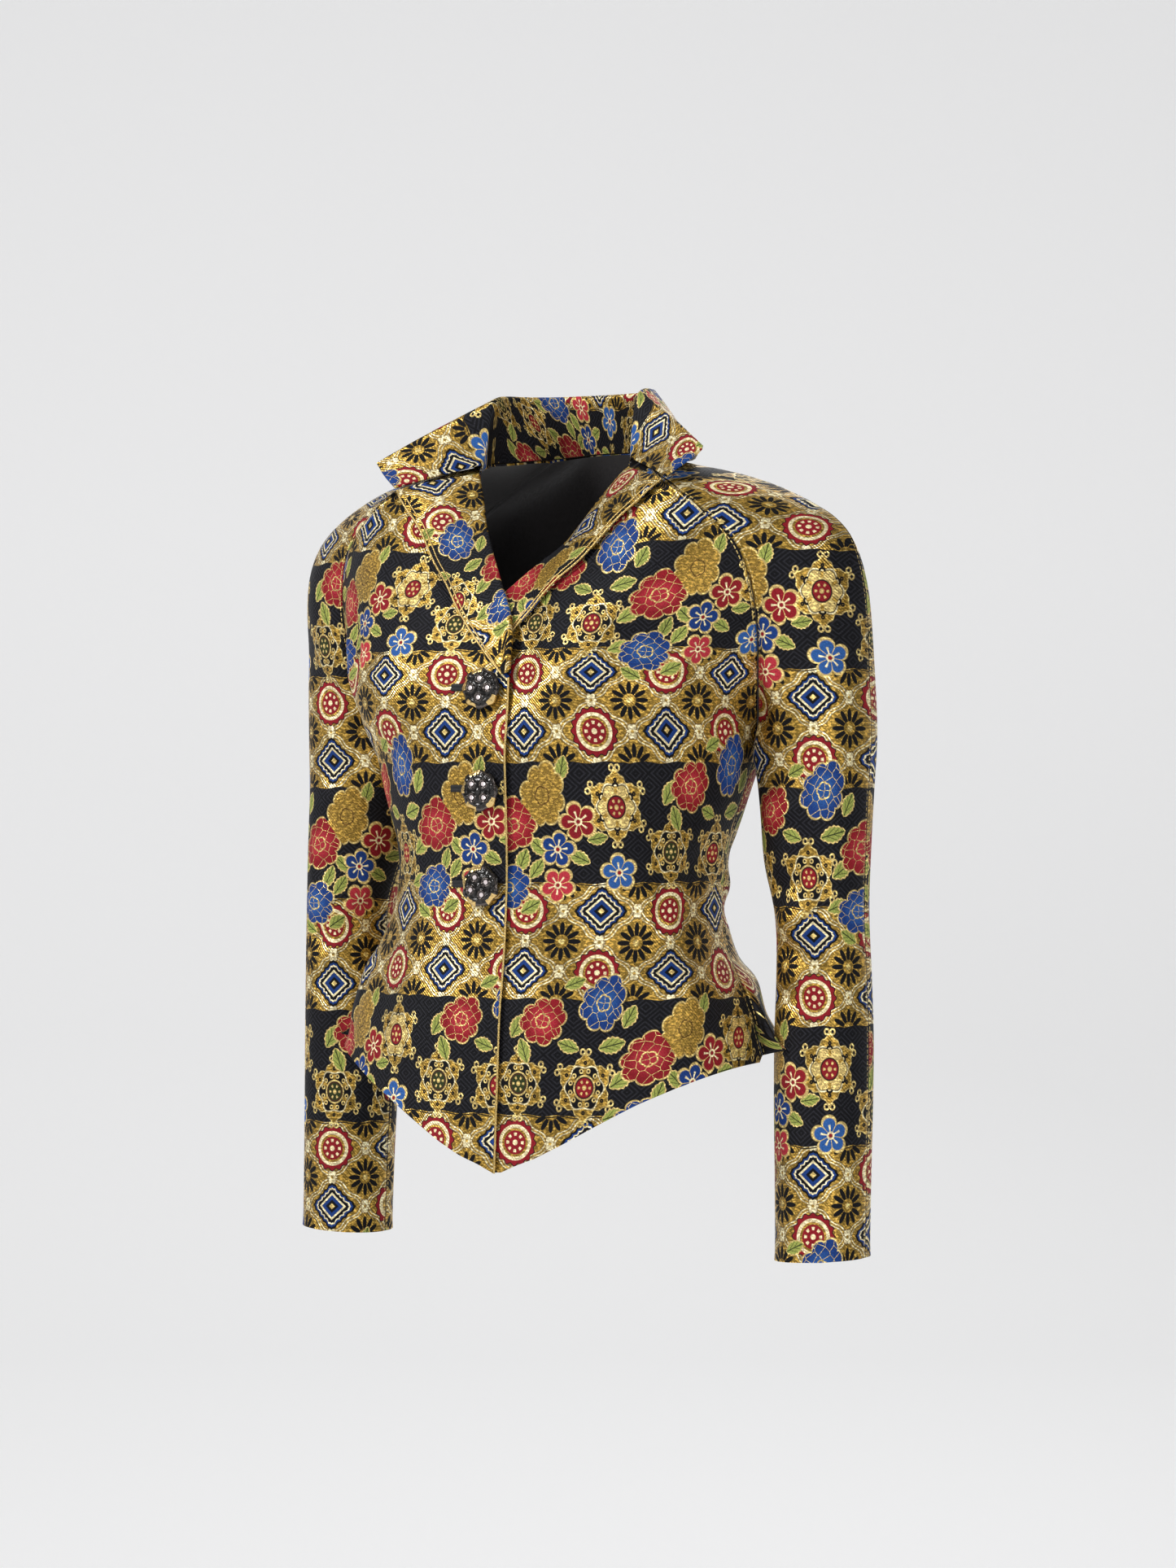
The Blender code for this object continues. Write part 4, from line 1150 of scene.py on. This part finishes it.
def paint_peonies(layers, place):
    """Full flowers: uneven lobed outline, petals as cells with pale edges, a small heart."""
    tree = layers.tree
    local, radius, code = nearest(tree, place, PEONIES)
    angle = angle_of(tree, local)
    uneven = angle.sine(2.0, 0.7) * 0.07 + angle.sine(3.0, 2.1) * 0.05
    rim = radius + uneven - petals(angle, 8, 0.4, 0.20)
    heart = radius - petals(angle, 5, 0.2, 0.20) * 0.30
    inputs = (("Vector", local), ("Scale", 2.7), ("Randomness", 0.85))
    cells = add_node(
        tree, "ShaderNodeTexVoronoi", inputs, voronoi_dimensions="2D", feature="DISTANCE_TO_EDGE")
    from_edge = Field(tree, cells.outputs["Distance"])
    body = rim.below(-0.03, 0.04)
    light = body * radius.below(0.55, 0.35) * 0.7
    lines = from_edge.below(0.024, 0.020).most(heart.line(0.0, 0.028, 0.02)) * body
    gold = is_kind(code, "gold")
    layers.paint_rows((
        (rim.below(0.03, 0.05), PALE_GOLD, 0.6),
        (body * is_kind(code, "red"), RED, 0.0),
        (body * is_kind(code, "blue"), ROYAL, 0.0),
        (body * gold, OCHRE, 0.6),
        (light * is_kind(code, "red"), CORAL, 0.0),
        (light * is_kind(code, "blue"), BLUE_LIGHT, 0.0),
        (lines, PALE_GOLD, 0.6),
        (lines * gold, DEEP_OCHRE, 0.5)))


def paint_blossoms(layers, place):
    """Open flowers of five petals: pale rims and splits, light streaks, a red eye."""
    local, radius, code = nearest(layers.tree, place, BLOSSOMS)
    angle = angle_of(layers.tree, local)
    rim = radius - petals(angle, 5, 0.0, 0.42)
    body = rim.below(-0.13, 0.07)
    layers.paint(rim.below(0.02, 0.07), PALE_GOLD, 0.5)
    for kind, dye in (("red", RED), ("blue", ROYAL), ("light", BLUE_LIGHT), ("coral", CORAL)):
        layers.paint(body * is_kind(code, kind), dye, 0.0)
    between = angle.sine(2.5).size()
    layers.paint_rows((
        (between.below(0.10, 0.10) * radius.above(0.20, 0.1) * body, PALE_GOLD, 0.4),
        (between.above(0.96, 0.05) * radius.below(0.52, 0.06) * body, WHITE_GOLD, 0.3),
        (radius.below(0.20, 0.05), WHITE_GOLD, 0.3),
        (radius.below(0.11, 0.05), RED, 0.0)))


def paint_rosettes(layers, place):
    """Six-sided scrolled medallions: curled tips, pale filigree, a round heart with dots."""
    local, radius, code = nearest(layers.tree, place, ROSETTES)
    angle = angle_of(layers.tree, local)
    six = angle.cosine(6.0, math.pi)
    fold = angle.scaled(1.0, math.pi / 6).math("PINGPONG", math.pi / 6)
    out = radius * fold.math("COSINE")
    aside = radius * fold.math("SINE")
    soft = 0.03

    def curl(at_out, at_aside, size, half_width):
        return distance(out - at_out, aside - at_aside).line(size, half_width, 0.5 * soft)

    outline = radius + six.scaled(-0.085, -0.76) + angle.cosine(18.0) * 0.026
    window = radius + six.scaled(0.050, -0.56)
    opening = window.below(0.0, soft)
    white = is_kind(code, "white")
    core = radius.below(0.26, soft)
    dots = angle.cosine(6.0).above(0.45, 0.4) * radius.line(0.17, 0.035, soft)
    layers.paint_rows((
        (curl(0.95, 0.09, 0.070, 0.024), PALE_GOLD, 0.7),
        (outline.below(0.030, 0.025), PALE_GOLD, 0.7),
        (outline.below(0.0, 0.025), OCHRE, 0.7),
        (window.below(0.035, soft), WHITE_GOLD, 0.6),
        (opening, BLACK, 0.0),
        (window.below(-0.03, soft) * white, PALE_GOLD, 0.6),
        (curl(0.50, 0.0, 0.085, 0.030) * white, BLACK, 0.0),
        (aside.below(0.045, soft) * opening, OCHRE, 0.6),
        (curl(0.44, 0.11, 0.050, 0.018) * opening, PALE_GOLD, 0.5),
        (curl(0.66, 0.0, 0.034, 0.024), BLACK, 0.0),
        (radius.below(0.34, soft), PALE_GOLD, 0.5),
        (radius.below(0.30, soft), BLACK, 0.0),
        (core, RED, 0.0),
        (core * is_kind(code, "green"), DARK_LEAF, 0.0),
        (dots.most(radius.below(0.06, 0.04)), PALE_GOLD, 0.3)))


def paint_damask(layers, u, v):
    """Tone-on-tone diamonds and chevrons of the black ground."""
    across = u.math("PINGPONG", 10.5 * MM)
    down = v.math("PINGPONG", 8.8 * MM)
    nest = (across + down * 1.2).math("PINGPONG", 2.1 * MM)
    layers.paint(nest.below(0.85 * MM, 0.5 * MM), SOFT_BLACK, 0.12)


def paint_lattice(layers, across, along):
    """Scalloped ribbons, black daisies in the cells between them, and knots where they cross."""
    soft = 0.02
    stretch = COLUMN / ROW
    scallop = across + along + (across - along).cosine(4 * math.pi) * 0.028
    half_across = across.minus_from(0.5)
    half_along = along.minus_from(0.5)
    star = distance(half_across * stretch, half_along)
    turn = half_along.math("ARCTAN2", half_across * stretch)
    beams = turn.cosine(6.0).size().math("POWER", 0.5)
    layers.paint_rows((
        (scallop.line(0.5, 0.060, soft), DEEP_OCHRE, 0.5),
        (scallop.line(0.5, 0.046, soft), WHITE_GOLD, 0.8),
        (scallop.line(0.5, 0.022, soft), OCHRE, 0.7),
        ((star - beams * 0.325).below(0.0, soft) * star.above(0.110, soft), BLACK, 0.0),
        (star.below(0.050, soft), PALE_GOLD, 0.7)))
    for near, far in ((half_across, along), (across, half_along)):
        x = near * stretch
        radius = distance(x, far)
        knot = radius - far.math("ARCTAN2", x).cosine(2.0, math.pi / 4).size().scaled(0.06, 0.075)
        layers.paint_rows((
            (knot.below(0.0, soft), DEEP_OCHRE, 0.5),
            (knot.below(-0.018, soft), WHITE_GOLD, 0.6),
            (radius.below(0.028, soft), OCHRE, 0.6)))


def paint_round_medallions(layers, x, y, share):
    """Red medallions: toothed rim, pale ring, dots round a bead."""
    radius = distance(x, y)
    angle = y.math("ARCTAN2", x)
    teeth = radius + angle.cosine(16.0).scaled(-0.9 * MM, -16.0 * MM)
    dots = angle.cosine(8.0).above(0.15, 0.5) * radius.line(6.0 * MM, 1.1 * MM, 0.5 * MM)
    layers.paint_rows((
        (teeth.below(0.8 * MM, THREAD), BLACK, 0.0),
        (teeth.below(0.0, THREAD), RED, 0.0),
        (radius.line(11.8 * MM, 1.3 * MM, THREAD), WHITE_GOLD, 0.5),
        (radius.line(9.6 * MM, 0.9 * MM, THREAD), OCHRE, 0.7),
        (radius.below(8.7 * MM, THREAD), RED, 0.0),
        (dots, WHITE_GOLD, 0.3),
        (radius.below(2.0 * MM, 0.5 * MM), WHITE_GOLD, 0.3)), share)


def paint_stepped_medallions(layers, x, y, share):
    """Blue and black diamonds, one inside the other, with a wavy rim."""
    step = x.size() + y.size() * 1.12
    lobed = step + y.math("ARCTAN2", x).sine(8.0, math.pi / 2).size() * (1.6 * MM)
    layers.paint_rows((
        (lobed.below(21.8 * MM, THREAD), BLACK, 0.0),
        (lobed.below(19.6 * MM, THREAD), ROYAL, 0.0),
        (lobed.line(16.8 * MM, 0.8 * MM, THREAD), WHITE_GOLD, 0.5),
        (lobed.below(15.8 * MM, THREAD), BLACK, 0.0),
        (step.line(10.6 * MM, 1.1 * MM, THREAD), WHITE_GOLD, 0.4),
        (step.below(9.4 * MM, THREAD), ROYAL, 0.0),
        (step.below(5.6 * MM, THREAD), BLACK, 0.0),
        (step.below(2.6 * MM, THREAD), PALE_GOLD, 0.5)), share)


def paint_gold_band(layers, u, down):
    """Lattice cells, each with a round or a stepped medallion in turn."""
    a = u / COLUMN
    b = down / ROW - (0.5 * BAND / ROW - 0.5)
    i = a.math("ROUND")
    j = b.math("ROUND")
    from_column = a - i
    from_row = b - j
    paint_lattice(layers, from_column.size(), from_row.size())
    x = from_column * COLUMN
    y = from_row * ROW
    even = ((i + j) * 0.5).math("FRACT").math("LESS_THAN", 0.25)
    paint_round_medallions(layers, x, y, even)
    paint_stepped_medallions(layers, x, y, even.minus_from(1.0))


def brocade():
    """Woven brocade: gold and black bands with flowers, drawn on the cloth's own coordinates."""
    made, tree, shader = new_material("brocade_cloth")
    uv = add_node(tree, "ShaderNodeUVMap", uv_map="cloth").outputs[0]
    u, v = coordinates(tree, uv)
    depth = v.scaled(-1.0, TOP_BAND)
    pair = depth.scaled(0.5 / BAND, 0.25).math("FLOOR")
    from_black = depth - pair * (2 * BAND)
    from_gold = from_black - BAND
    wave = u.sine(math.tau / BAND_WAVE_LENGTH) * BAND_WAVE_HEIGHT
    ground = Layers(tree, OCHRE, 0.75)
    paint_gold_band(ground, u, from_gold.math("WRAP", 1.5 * BAND, -0.5 * BAND))
    ground.paint((from_gold + wave).line(1.1 * MM, THREAD, FINE_THREAD), BLACK, 0.0)
    dark = Layers(tree, BLACK, 0.0)
    paint_damask(dark, u, v)
    black = (from_gold + wave).below(0.0, FINE_THREAD) * (from_black + wave).above(0.0, FINE_THREAD)
    ground.paint(black, dark.colour, dark.metal)
    along = u + CLUSTER_START - pair * (2 * COLUMN)
    place = add_node(tree, "ShaderNodeCombineXYZ", ((0, along), (1, from_black))).outputs[0]
    for paint in (paint_rosettes, paint_leaves, paint_peonies, paint_blossoms):
        paint(ground, place)
    weave(shader, ground, uv)
    return made


def weave(shader, layers, uv):
    """Stitched and shaded seams, painted glints in the colour of the metal threads, drift of tone, fine
    relief.
    """
    tree = layers.tree
    grain = noise(tree, uv, 900.0, 1.0)
    drift = noise(tree, uv, 34.0, 2.0)
    rims = add_node(tree, "ShaderNodeUVMap", uv_map="edge")
    from_rim, along_rim = coordinates(tree, rims.outputs[0])
    seam_shade = from_rim.scaled(-0.65 / (1.6 * MM), 0.65, clamp=True).minus_from(1.0)
    dash = along_rim.math("PINGPONG", 2.1 * MM).below(1.3 * MM, 0.2 * MM)
    layers.paint(dash * from_rim.line(2.4 * MM, THREAD, FINE_THREAD), PALE_GOLD, 0.6)
    # Painted glints: stretched noise makes the colour of the metal threads up to about twice as bright
    # in streaks, and darker between them.
    stretched = add_node(tree, "ShaderNodeMapping", ((0, uv), ("Scale", (330.0, 620.0, 1.0))))
    painted_glints = noise(tree, stretched.outputs[0], 1.0, 2.0).scaled(6.0, -2.8, clamp=True)
    metal = Field(tree, layers.metal)
    tone = grain.scaled(1.3, 0.35) * drift.scaled(0.5, 0.75) * seam_shade
    tone = tone * (metal * painted_glints.scaled(1.80, -0.60) + 1.0)
    feed(tree, shader.inputs["Base Color"], tinted(tree, layers.colour, tone))
    feed(tree, shader.inputs["Metallic"], layers.metal)
    feed(tree, shader.inputs["Roughness"], grain.scaled(0.36, 0.38) - metal * 0.26)
    shader.inputs["Specular IOR Level"].default_value = 0.12
    inputs = (("Vector", uv), ("Scale", 260.0), ("Distortion", 0.6))
    ribs = add_node(tree, "ShaderNodeTexWave", inputs, bands_direction="DIAGONAL")
    height = Field(tree, ribs.outputs["Fac"]) * 0.5 + grain * 0.5 + drift * 1.2
    add_bump(tree, shader, height, 0.8, 0.5 * MM)


def plain(name, colour, roughness, metallic, grain, scale, relief):
    """One colour with uneven tone, uneven gloss and a fine relief."""
    made, tree, shader = new_material(name)
    place = add_node(tree, "ShaderNodeTexCoord")
    field = noise(tree, place.outputs["Object"], scale, 3.0)
    feed(tree, shader.inputs["Base Color"], tinted(tree, colour, field.scaled(2 * grain, 1 - grain)))
    feed(tree, shader.inputs["Roughness"], field.scaled(0.3, roughness - 0.15))
    shader.inputs["Metallic"].default_value = metallic
    add_bump(tree, shader, field, 0.5, relief)
    return made


def lining():
    """Dark satin reverse of the cloth."""
    made = plain("lining", (.026, .023, .024), 0.42, 0.0, 0.25, 500.0, 0.0002)
    made.node_tree.nodes["Principled BSDF"].inputs["Sheen Weight"].default_value = 0.3
    return made


def glitter_thread():
    return plain("gold_edging", (.62, .44, .16), 0.36, 0.85, 0.5, 1100.0, 0.0008)


def black_enamel():
    made = plain("black_enamel", (.011, .009, .008), 0.30, 0.55, 0.5, 420.0, 0.0001)
    made.node_tree.nodes["Principled BSDF"].inputs["Coat Weight"].default_value = 0.5
    return made


def bezel():
    return plain("bezel", (.13, .11, .10), 0.26, 0.95, 0.3, 800.0, 0.0001)


def crystal():
    made, _, shader = new_material("crystal")
    shader.inputs["Base Color"].default_value = (1.0, .88, .88, 1.0)
    shader.inputs["Roughness"].default_value = 0.06
    shader.inputs["IOR"].default_value = 1.7
    shader.inputs["Metallic"].default_value = 0.25
    shader.inputs["Coat Weight"].default_value = 1.0
    return made


def gilt():
    return plain("gilt", (.78, .55, .22), 0.30, 0.9, 0.3, 600.0, 0.0004)


def binding():
    return plain("black_binding", (.010, .010, .012), 0.75, 0.0, 0.4, 900.0, 0.0005)


def close_loops(builder, loops):
    """Join rings of points in a row into one closed skin with flat ends."""
    count = len(loops[0])
    for low, high in zip(loops, loops[1:]):
        for k in range(count):
            n = (k + 1) % count
            builder.faces.new((low[k], low[n], high[n], high[k]))
    builder.faces.new(loops[0][::-1])
    builder.faces.new(loops[-1])
    bmesh.ops.recalc_face_normals(builder, faces=builder.faces)


def tube(name, path, radius, look, sides=8):
    """Round cord along a line of points, closed at its ends, with a slight twist in its width."""
    points = np.array(path, float)
    tangents = np.gradient(points, axis=0)
    tangents /= np.linalg.norm(tangents, axis=1, keepdims=True)
    builder = bmesh.new()
    reference = np.array((0.0, -1.0, 0.2))
    loops = []
    for index, (point, tangent) in enumerate(zip(points, tangents)):
        across = np.cross(tangent, reference)
        across /= np.linalg.norm(across)
        up = np.cross(across, tangent)
        width = radius * (1 + 0.12 * math.sin(1.9 * index))
        loop = []
        for k in range(sides):
            a = math.tau * k / sides
            loop.append(builder.verts.new(point + width * (math.cos(a) * across + math.sin(a) * up)))
        loops.append(loop)
    close_loops(builder, loops)
    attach(add_object(name, builder, [look], 80), "root")


def even_path(points, step):
    """Points at even steps along a line."""
    points = np.array(points, float)
    length = np.concatenate(([0.0], np.linalg.norm(np.diff(points, axis=0), axis=1).cumsum()))
    count = max(3, int(length[-1] / step))
    at = np.linspace(0, length[-1], count)
    return np.array([np.interp(at, length, points[:, k]) for k in range(3)]).T


def button_frame(finder, z, x):
    """Seat of a button: centre, axes, and the height that clears the cloth under it."""
    centre, normal = finder.at(x, z)
    side = np.cross(normal, (0.0, 0.0, 1.0))
    side /= np.linalg.norm(side)
    top = np.cross(side, normal)
    height = 0.0
    for turn in range(12):
        for share in (0.5, 1.0):
            a = math.radians(30 * turn)
            spot = centre + share * BUTTON_RADIUS * (math.cos(a) * side + math.sin(a) * top)
            below, _ = finder.at(spot[0], spot[2])
            height = max(height, float(np.dot(below - centre, normal)))
    return centre, side, top, normal, height


def relief_height(x, y, radius, angle):
    """Height of a button's face: a dome, four ringed settings, a centre bead and a beaded rim."""
    share = radius / BUTTON_RADIUS
    face = 1.6 * MM + 4.4 * MM * math.sqrt(max(0.0, 1 - (0.93 * share) ** 2))
    for sx in (-1, 1):
        for sy in (-1, 1):
            gap = math.hypot(x - sx * STONE_OFFSET, y - sy * STONE_OFFSET)
            face += 1.3 * MM * math.exp(-((gap - 3.1 * MM) / (0.65 * MM)) ** 2)
            face += 0.7 * MM * math.exp(-(gap / (2.3 * MM)) ** 2)
    face += 0.9 * MM * math.exp(-(radius / (1.5 * MM)) ** 2)
    rim = math.exp(-((share - 0.84) / 0.09) ** 2)
    face += 0.75 * MM * rim * (0.5 + 0.5 * math.cos(20 * angle))
    face += 0.5 * MM * math.exp(-((share - 0.70) / 0.05) ** 2)
    face -= 0.5 * MM * math.exp(-((share - 0.62) / 0.05) ** 2) * (0.5 + 0.5 * math.cos(4 * angle))
    return face


def button_part(x, y, turn):
    """Which look a spot on a button has: 0 enamel, 1 gilt, 2 bezel; x and y as on the cloth."""
    share = math.hypot(x, y) / BUTTON_RADIUS
    angle = math.degrees(math.atan2(y, x)) % 360
    patch = any(abs((angle - at + 180) % 360 - 180) < GILT_HALF_ANGLE for at in GILT_AT)
    a = math.cos(turn) * x + math.sin(turn) * y
    b = math.cos(turn) * y - math.sin(turn) * x
    from_stone = math.hypot(abs(a) - STONE_OFFSET, abs(b) - STONE_OFFSET)
    if abs(from_stone - 2.9 * MM) < 0.5 * MM or (abs(share - 0.93) < 0.035 and not patch):
        return 2
    return 1 if patch and share > 0.80 else 0


def build_stone(name, spot, x, y, look, corners=8):
    """Cut stone set in the face of a button; spot places a point of the button in the scene."""
    base = relief_height(x, y, math.hypot(x, y), math.atan2(y, x)) - 0.3 * MM
    builder = bmesh.new()
    loops = []
    for radius, lift in STONE_OUTLINE:
        turns = [math.tau * s / corners + 0.3 for s in range(corners)]
        loops.append([
            builder.verts.new(spot(x + radius * math.cos(a), y + radius * math.sin(a), base + lift))
            for a in turns])
    close_loops(builder, loops)
    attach(add_object(name, builder, [look], 10), "root")


def build_button(index, finder, looks):
    """Ornate button: relief disc, four stones in settings, four gilt facets at its rim."""
    centre, side, top, normal, height = button_frame(finder, BUTTON_HEIGHTS[index], BUTTON_X)
    seat = centre + (height + BUTTON_GAP + 1.4 * MM) * normal
    turn = math.radians(BUTTON_TURNS[index])
    spokes = 96
    builder = bmesh.new()

    def spot(x, y, rise):
        a = math.cos(turn) * x - math.sin(turn) * y
        b = math.sin(turn) * x + math.cos(turn) * y
        return seat + a * side + b * top + rise * normal

    def place(radius, angle, rise=None):
        lobes = 1 + 0.045 * math.cos(8 * angle) * (radius / BUTTON_RADIUS) ** 4
        x = radius * lobes * math.cos(angle)
        y = radius * lobes * math.sin(angle)
        if rise is None:
            rise = relief_height(x, y, radius, angle)
        return builder.verts.new(spot(x, y, rise))

    angles = [math.tau * s / spokes for s in range(spokes)]
    loops = [[place(share * BUTTON_RADIUS, a) for a in angles] for share in np.linspace(0, 1, 34)[1:]]
    loops += [[place(share * BUTTON_RADIUS, a, rise) for a in angles] for share, rise in SKIRT_OUTLINE]
    crown = place(0.0, 0.0)
    foot = place(0.0, 0.0, SKIRT_OUTLINE[-1][1])
    for s in range(spokes):
        n = (s + 1) % spokes
        builder.faces.new((crown, loops[0][s], loops[0][n]))
        builder.faces.new((foot, loops[-1][n], loops[-1][s]))
        for low, high in zip(loops, loops[1:]):
            builder.faces.new((low[s], high[s], high[n], low[n]))
    bmesh.ops.recalc_face_normals(builder, faces=builder.faces)
    for face in builder.faces:
        away = np.array(face.calc_center_median()) - seat
        face.material_index = button_part(float(np.dot(away, side)), float(np.dot(away, top)), turn)
    enamel, stone, gold, ring = looks
    name = "button_%d" % (index + 1)
    body = add_object(name + "_relief", builder, [enamel, gold, ring], 60)
    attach(body, "root")
    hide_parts(name)
    for k, (sx, sy) in enumerate(((-1, -1), (1, -1), (1, 1), (-1, 1))):
        build_stone("%s_stone_%d" % (name, k + 1), spot, sx * STONE_OFFSET, sy * STONE_OFFSET, stone)


def build_buttonhole(index, finder, look):
    """Flat bound strip behind a button, reaching out towards the wearer's right."""
    length, width, thick = BUTTONHOLE_SIZE
    z = BUTTON_HEIGHTS[index] + 1.5 * MM
    columns = 28
    outer = []
    inner = []
    for share in np.linspace(-0.5, 0.5, 9):
        outer.append([])
        inner.append([])
        for j in range(columns):
            x = BUTTON_X - length + length * j / (columns - 1)
            point, normal = finder.at(x, z + share * width)
            lip = thick * (0.55 + 0.45 * abs(math.sin(2.0 * math.pi * share)))
            inner[-1].append(point + BUTTONHOLE_GAP * normal)
            outer[-1].append(point + (BUTTONHOLE_GAP + lip) * normal)
    outer = np.array(outer)
    cloth = np.zeros((*outer.shape[:2], 2))
    name = "buttonhole_%d" % (index + 1)
    made = cloth_sheet(name + "_binding", outer, np.array(inner), cloth, [look, look])
    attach(made, "root")
    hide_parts(name)


def build_edgings(made, lapels, look):
    """Glittering cords laid along the lapel edges and down the edge of the front."""
    for side, outer in lapels.items():
        word = "left" if side > 0 else "right"
        normals = grid_normals(outer, 1)
        if normals[LAPEL_ROWS // 2, -3][1] > 0:
            normals = -normals
        rim = outer[:, -1] + LAPEL_CORD_RISE * normals[:, -1]
        tube("lapel_edging_" + word, even_path(rim, CORD_STEP), LAPEL_CORD, look)
        inset = outer[4:, -3] + INNER_CORD_RISE * normals[4:, -3]
        tube("lapel_piping_" + word, even_path(inset, CORD_STEP), INNER_CORD, look)
    outer, normals, _ = made["front", -1]
    start = CAP_ROWS * 7 // 9
    line = outer[start:, 0] - 0.4 * WALL * normals[start:, 0]
    tube("front_edging", even_path(line, CORD_STEP), FRONT_CORD, look)


# Sweep of the floor and backdrop: distance behind the part, height.
SWEEP = [(-6.0, -1.35), (2.2, -1.35), (3.0, -1.18), (3.5, -0.70), (3.7, 0.2), (3.7, 4.5)]
SWEEP_HALF_WIDTH = 7.0

# Lights: name, place, width and height, watts.
LIGHTS = [
    ("key_light", (-1.3, -2.2, 1.5), (0.8, 0.8), 66),
    ("side_light", (2.5, -1.3, 0.5), (0.4, 1.4), 27),
    ("front_light", (0.9, -3.2, 0.0), (0.9, 0.9), 8),
    ("top_light", (0.0, 0.3, 2.4), (1.2, 1.2), 14),
    ("back_light", (-0.6, 2.6, 1.0), (1.6, 1.6), 12)]
LIGHT_TARGET = (0.0, 0.0, -0.28)


def pale_floor():
    made, _, shader = new_material("pale_floor")
    shader.inputs["Base Color"].default_value = (.60, .60, .605, 1.0)
    shader.inputs["Roughness"].default_value = 0.9
    shader.inputs["Emission Color"].default_value = (1.0, 1.0, 1.0, 1.0)
    shader.inputs["Emission Strength"].default_value = 0.42
    return made


def build_stage():
    """Pale floor and backdrop in one sweep, square to the camera."""
    builder = bmesh.new()
    sin = math.sin(CAMERA_AZIMUTH)
    cos = math.cos(CAMERA_AZIMUTH)
    rows = [
        [builder.verts.new((cos * x - sin * y, sin * x + cos * y, z))
         for x in (-SWEEP_HALF_WIDTH, SWEEP_HALF_WIDTH)]
        for y, z in SWEEP]
    for low, high in zip(rows, rows[1:]):
        builder.faces.new((low[0], low[1], high[1], high[0]))
    add_object("floor", builder, [pale_floor()], 89)


def add_light(name, place, size, power):
    lamp = bpy.data.lights.new(name, "AREA")
    lamp.shape = "RECTANGLE"
    lamp.size, lamp.size_y = size
    lamp.energy = power
    made = bpy.data.objects.new(name, lamp)
    made.location = place
    away = made.location - type(made.location)(LIGHT_TARGET)
    made.rotation_euler = away.to_track_quat("Z", "Y").to_euler()
    bpy.context.scene.collection.objects.link(made)


def build_lights():
    for row in LIGHTS:
        add_light(*row)
    world = bpy.data.worlds.new("soft_room")
    world.use_nodes = True
    background = world.node_tree.nodes["Background"]
    background.inputs["Color"].default_value = (.93, .94, .96, 1.0)
    background.inputs["Strength"].default_value = 0.16
    bpy.context.scene.world = world


def build_camera():
    data = bpy.data.cameras.new("camera")
    data.sensor_width = 36.0
    data.lens = CAMERA_LENS
    made = bpy.data.objects.new("camera", data)
    sin = math.sin(CAMERA_AZIMUTH)
    cos = math.cos(CAMERA_AZIMUTH)
    made.location = (
        CAMERA_DISTANCE * sin + CAMERA_ASIDE * cos,
        -CAMERA_DISTANCE * cos + CAMERA_ASIDE * sin,
        CAMERA_HEIGHT)
    made.rotation_euler = (math.pi / 2, 0.0, CAMERA_AZIMUTH)
    bpy.context.scene.collection.objects.link(made)
    bpy.context.scene.camera = made


# Shift of the pattern on each piece, across and up, so that its medallions lie as they should.
BOLT_PLACES = {
    ("front", 1): (0.033, 0.0), ("front", -1): (-0.033, 0.0),
    ("back", 1): (0.040, 0.0), ("back", -1): (-0.072, 0.0),
    ("sleeve_front", 1): (0.048, 0.0), ("sleeve_front", -1): (-0.202, 0.0),
    ("sleeve_back", 1): (0.030, 0.0), ("sleeve_back", -1): (-0.180, 0.0),
    ("lapel", 1): (0.028, 0.160), ("lapel", -1): (0.0123, 0.172),
    ("collar", 1): (0.0434, 0.2300)}


def main():
    bpy.context.scene.view_settings.view_transform = "Standard"
    looks = [brocade(), lining()]
    made, front, back = build_grids()
    build_panels(made, looks)
    finders = {side: PanelFinder(*made["front", side][:2]) for side in (1, -1)}
    lapels = {side: build_lapel(side, finders[side], looks) for side in (1, -1)}
    build_collar(front, back, looks)
    build_edgings(made, lapels, glitter_thread())
    button_looks = (black_enamel(), crystal(), gilt(), bezel())
    strip = binding()
    for index in range(len(BUTTON_HEIGHTS)):
        build_button(index, finders[-1], button_looks)
        build_buttonhole(index, finders[-1], strip)
    build_stage()
    build_lights()
    build_camera()


main()
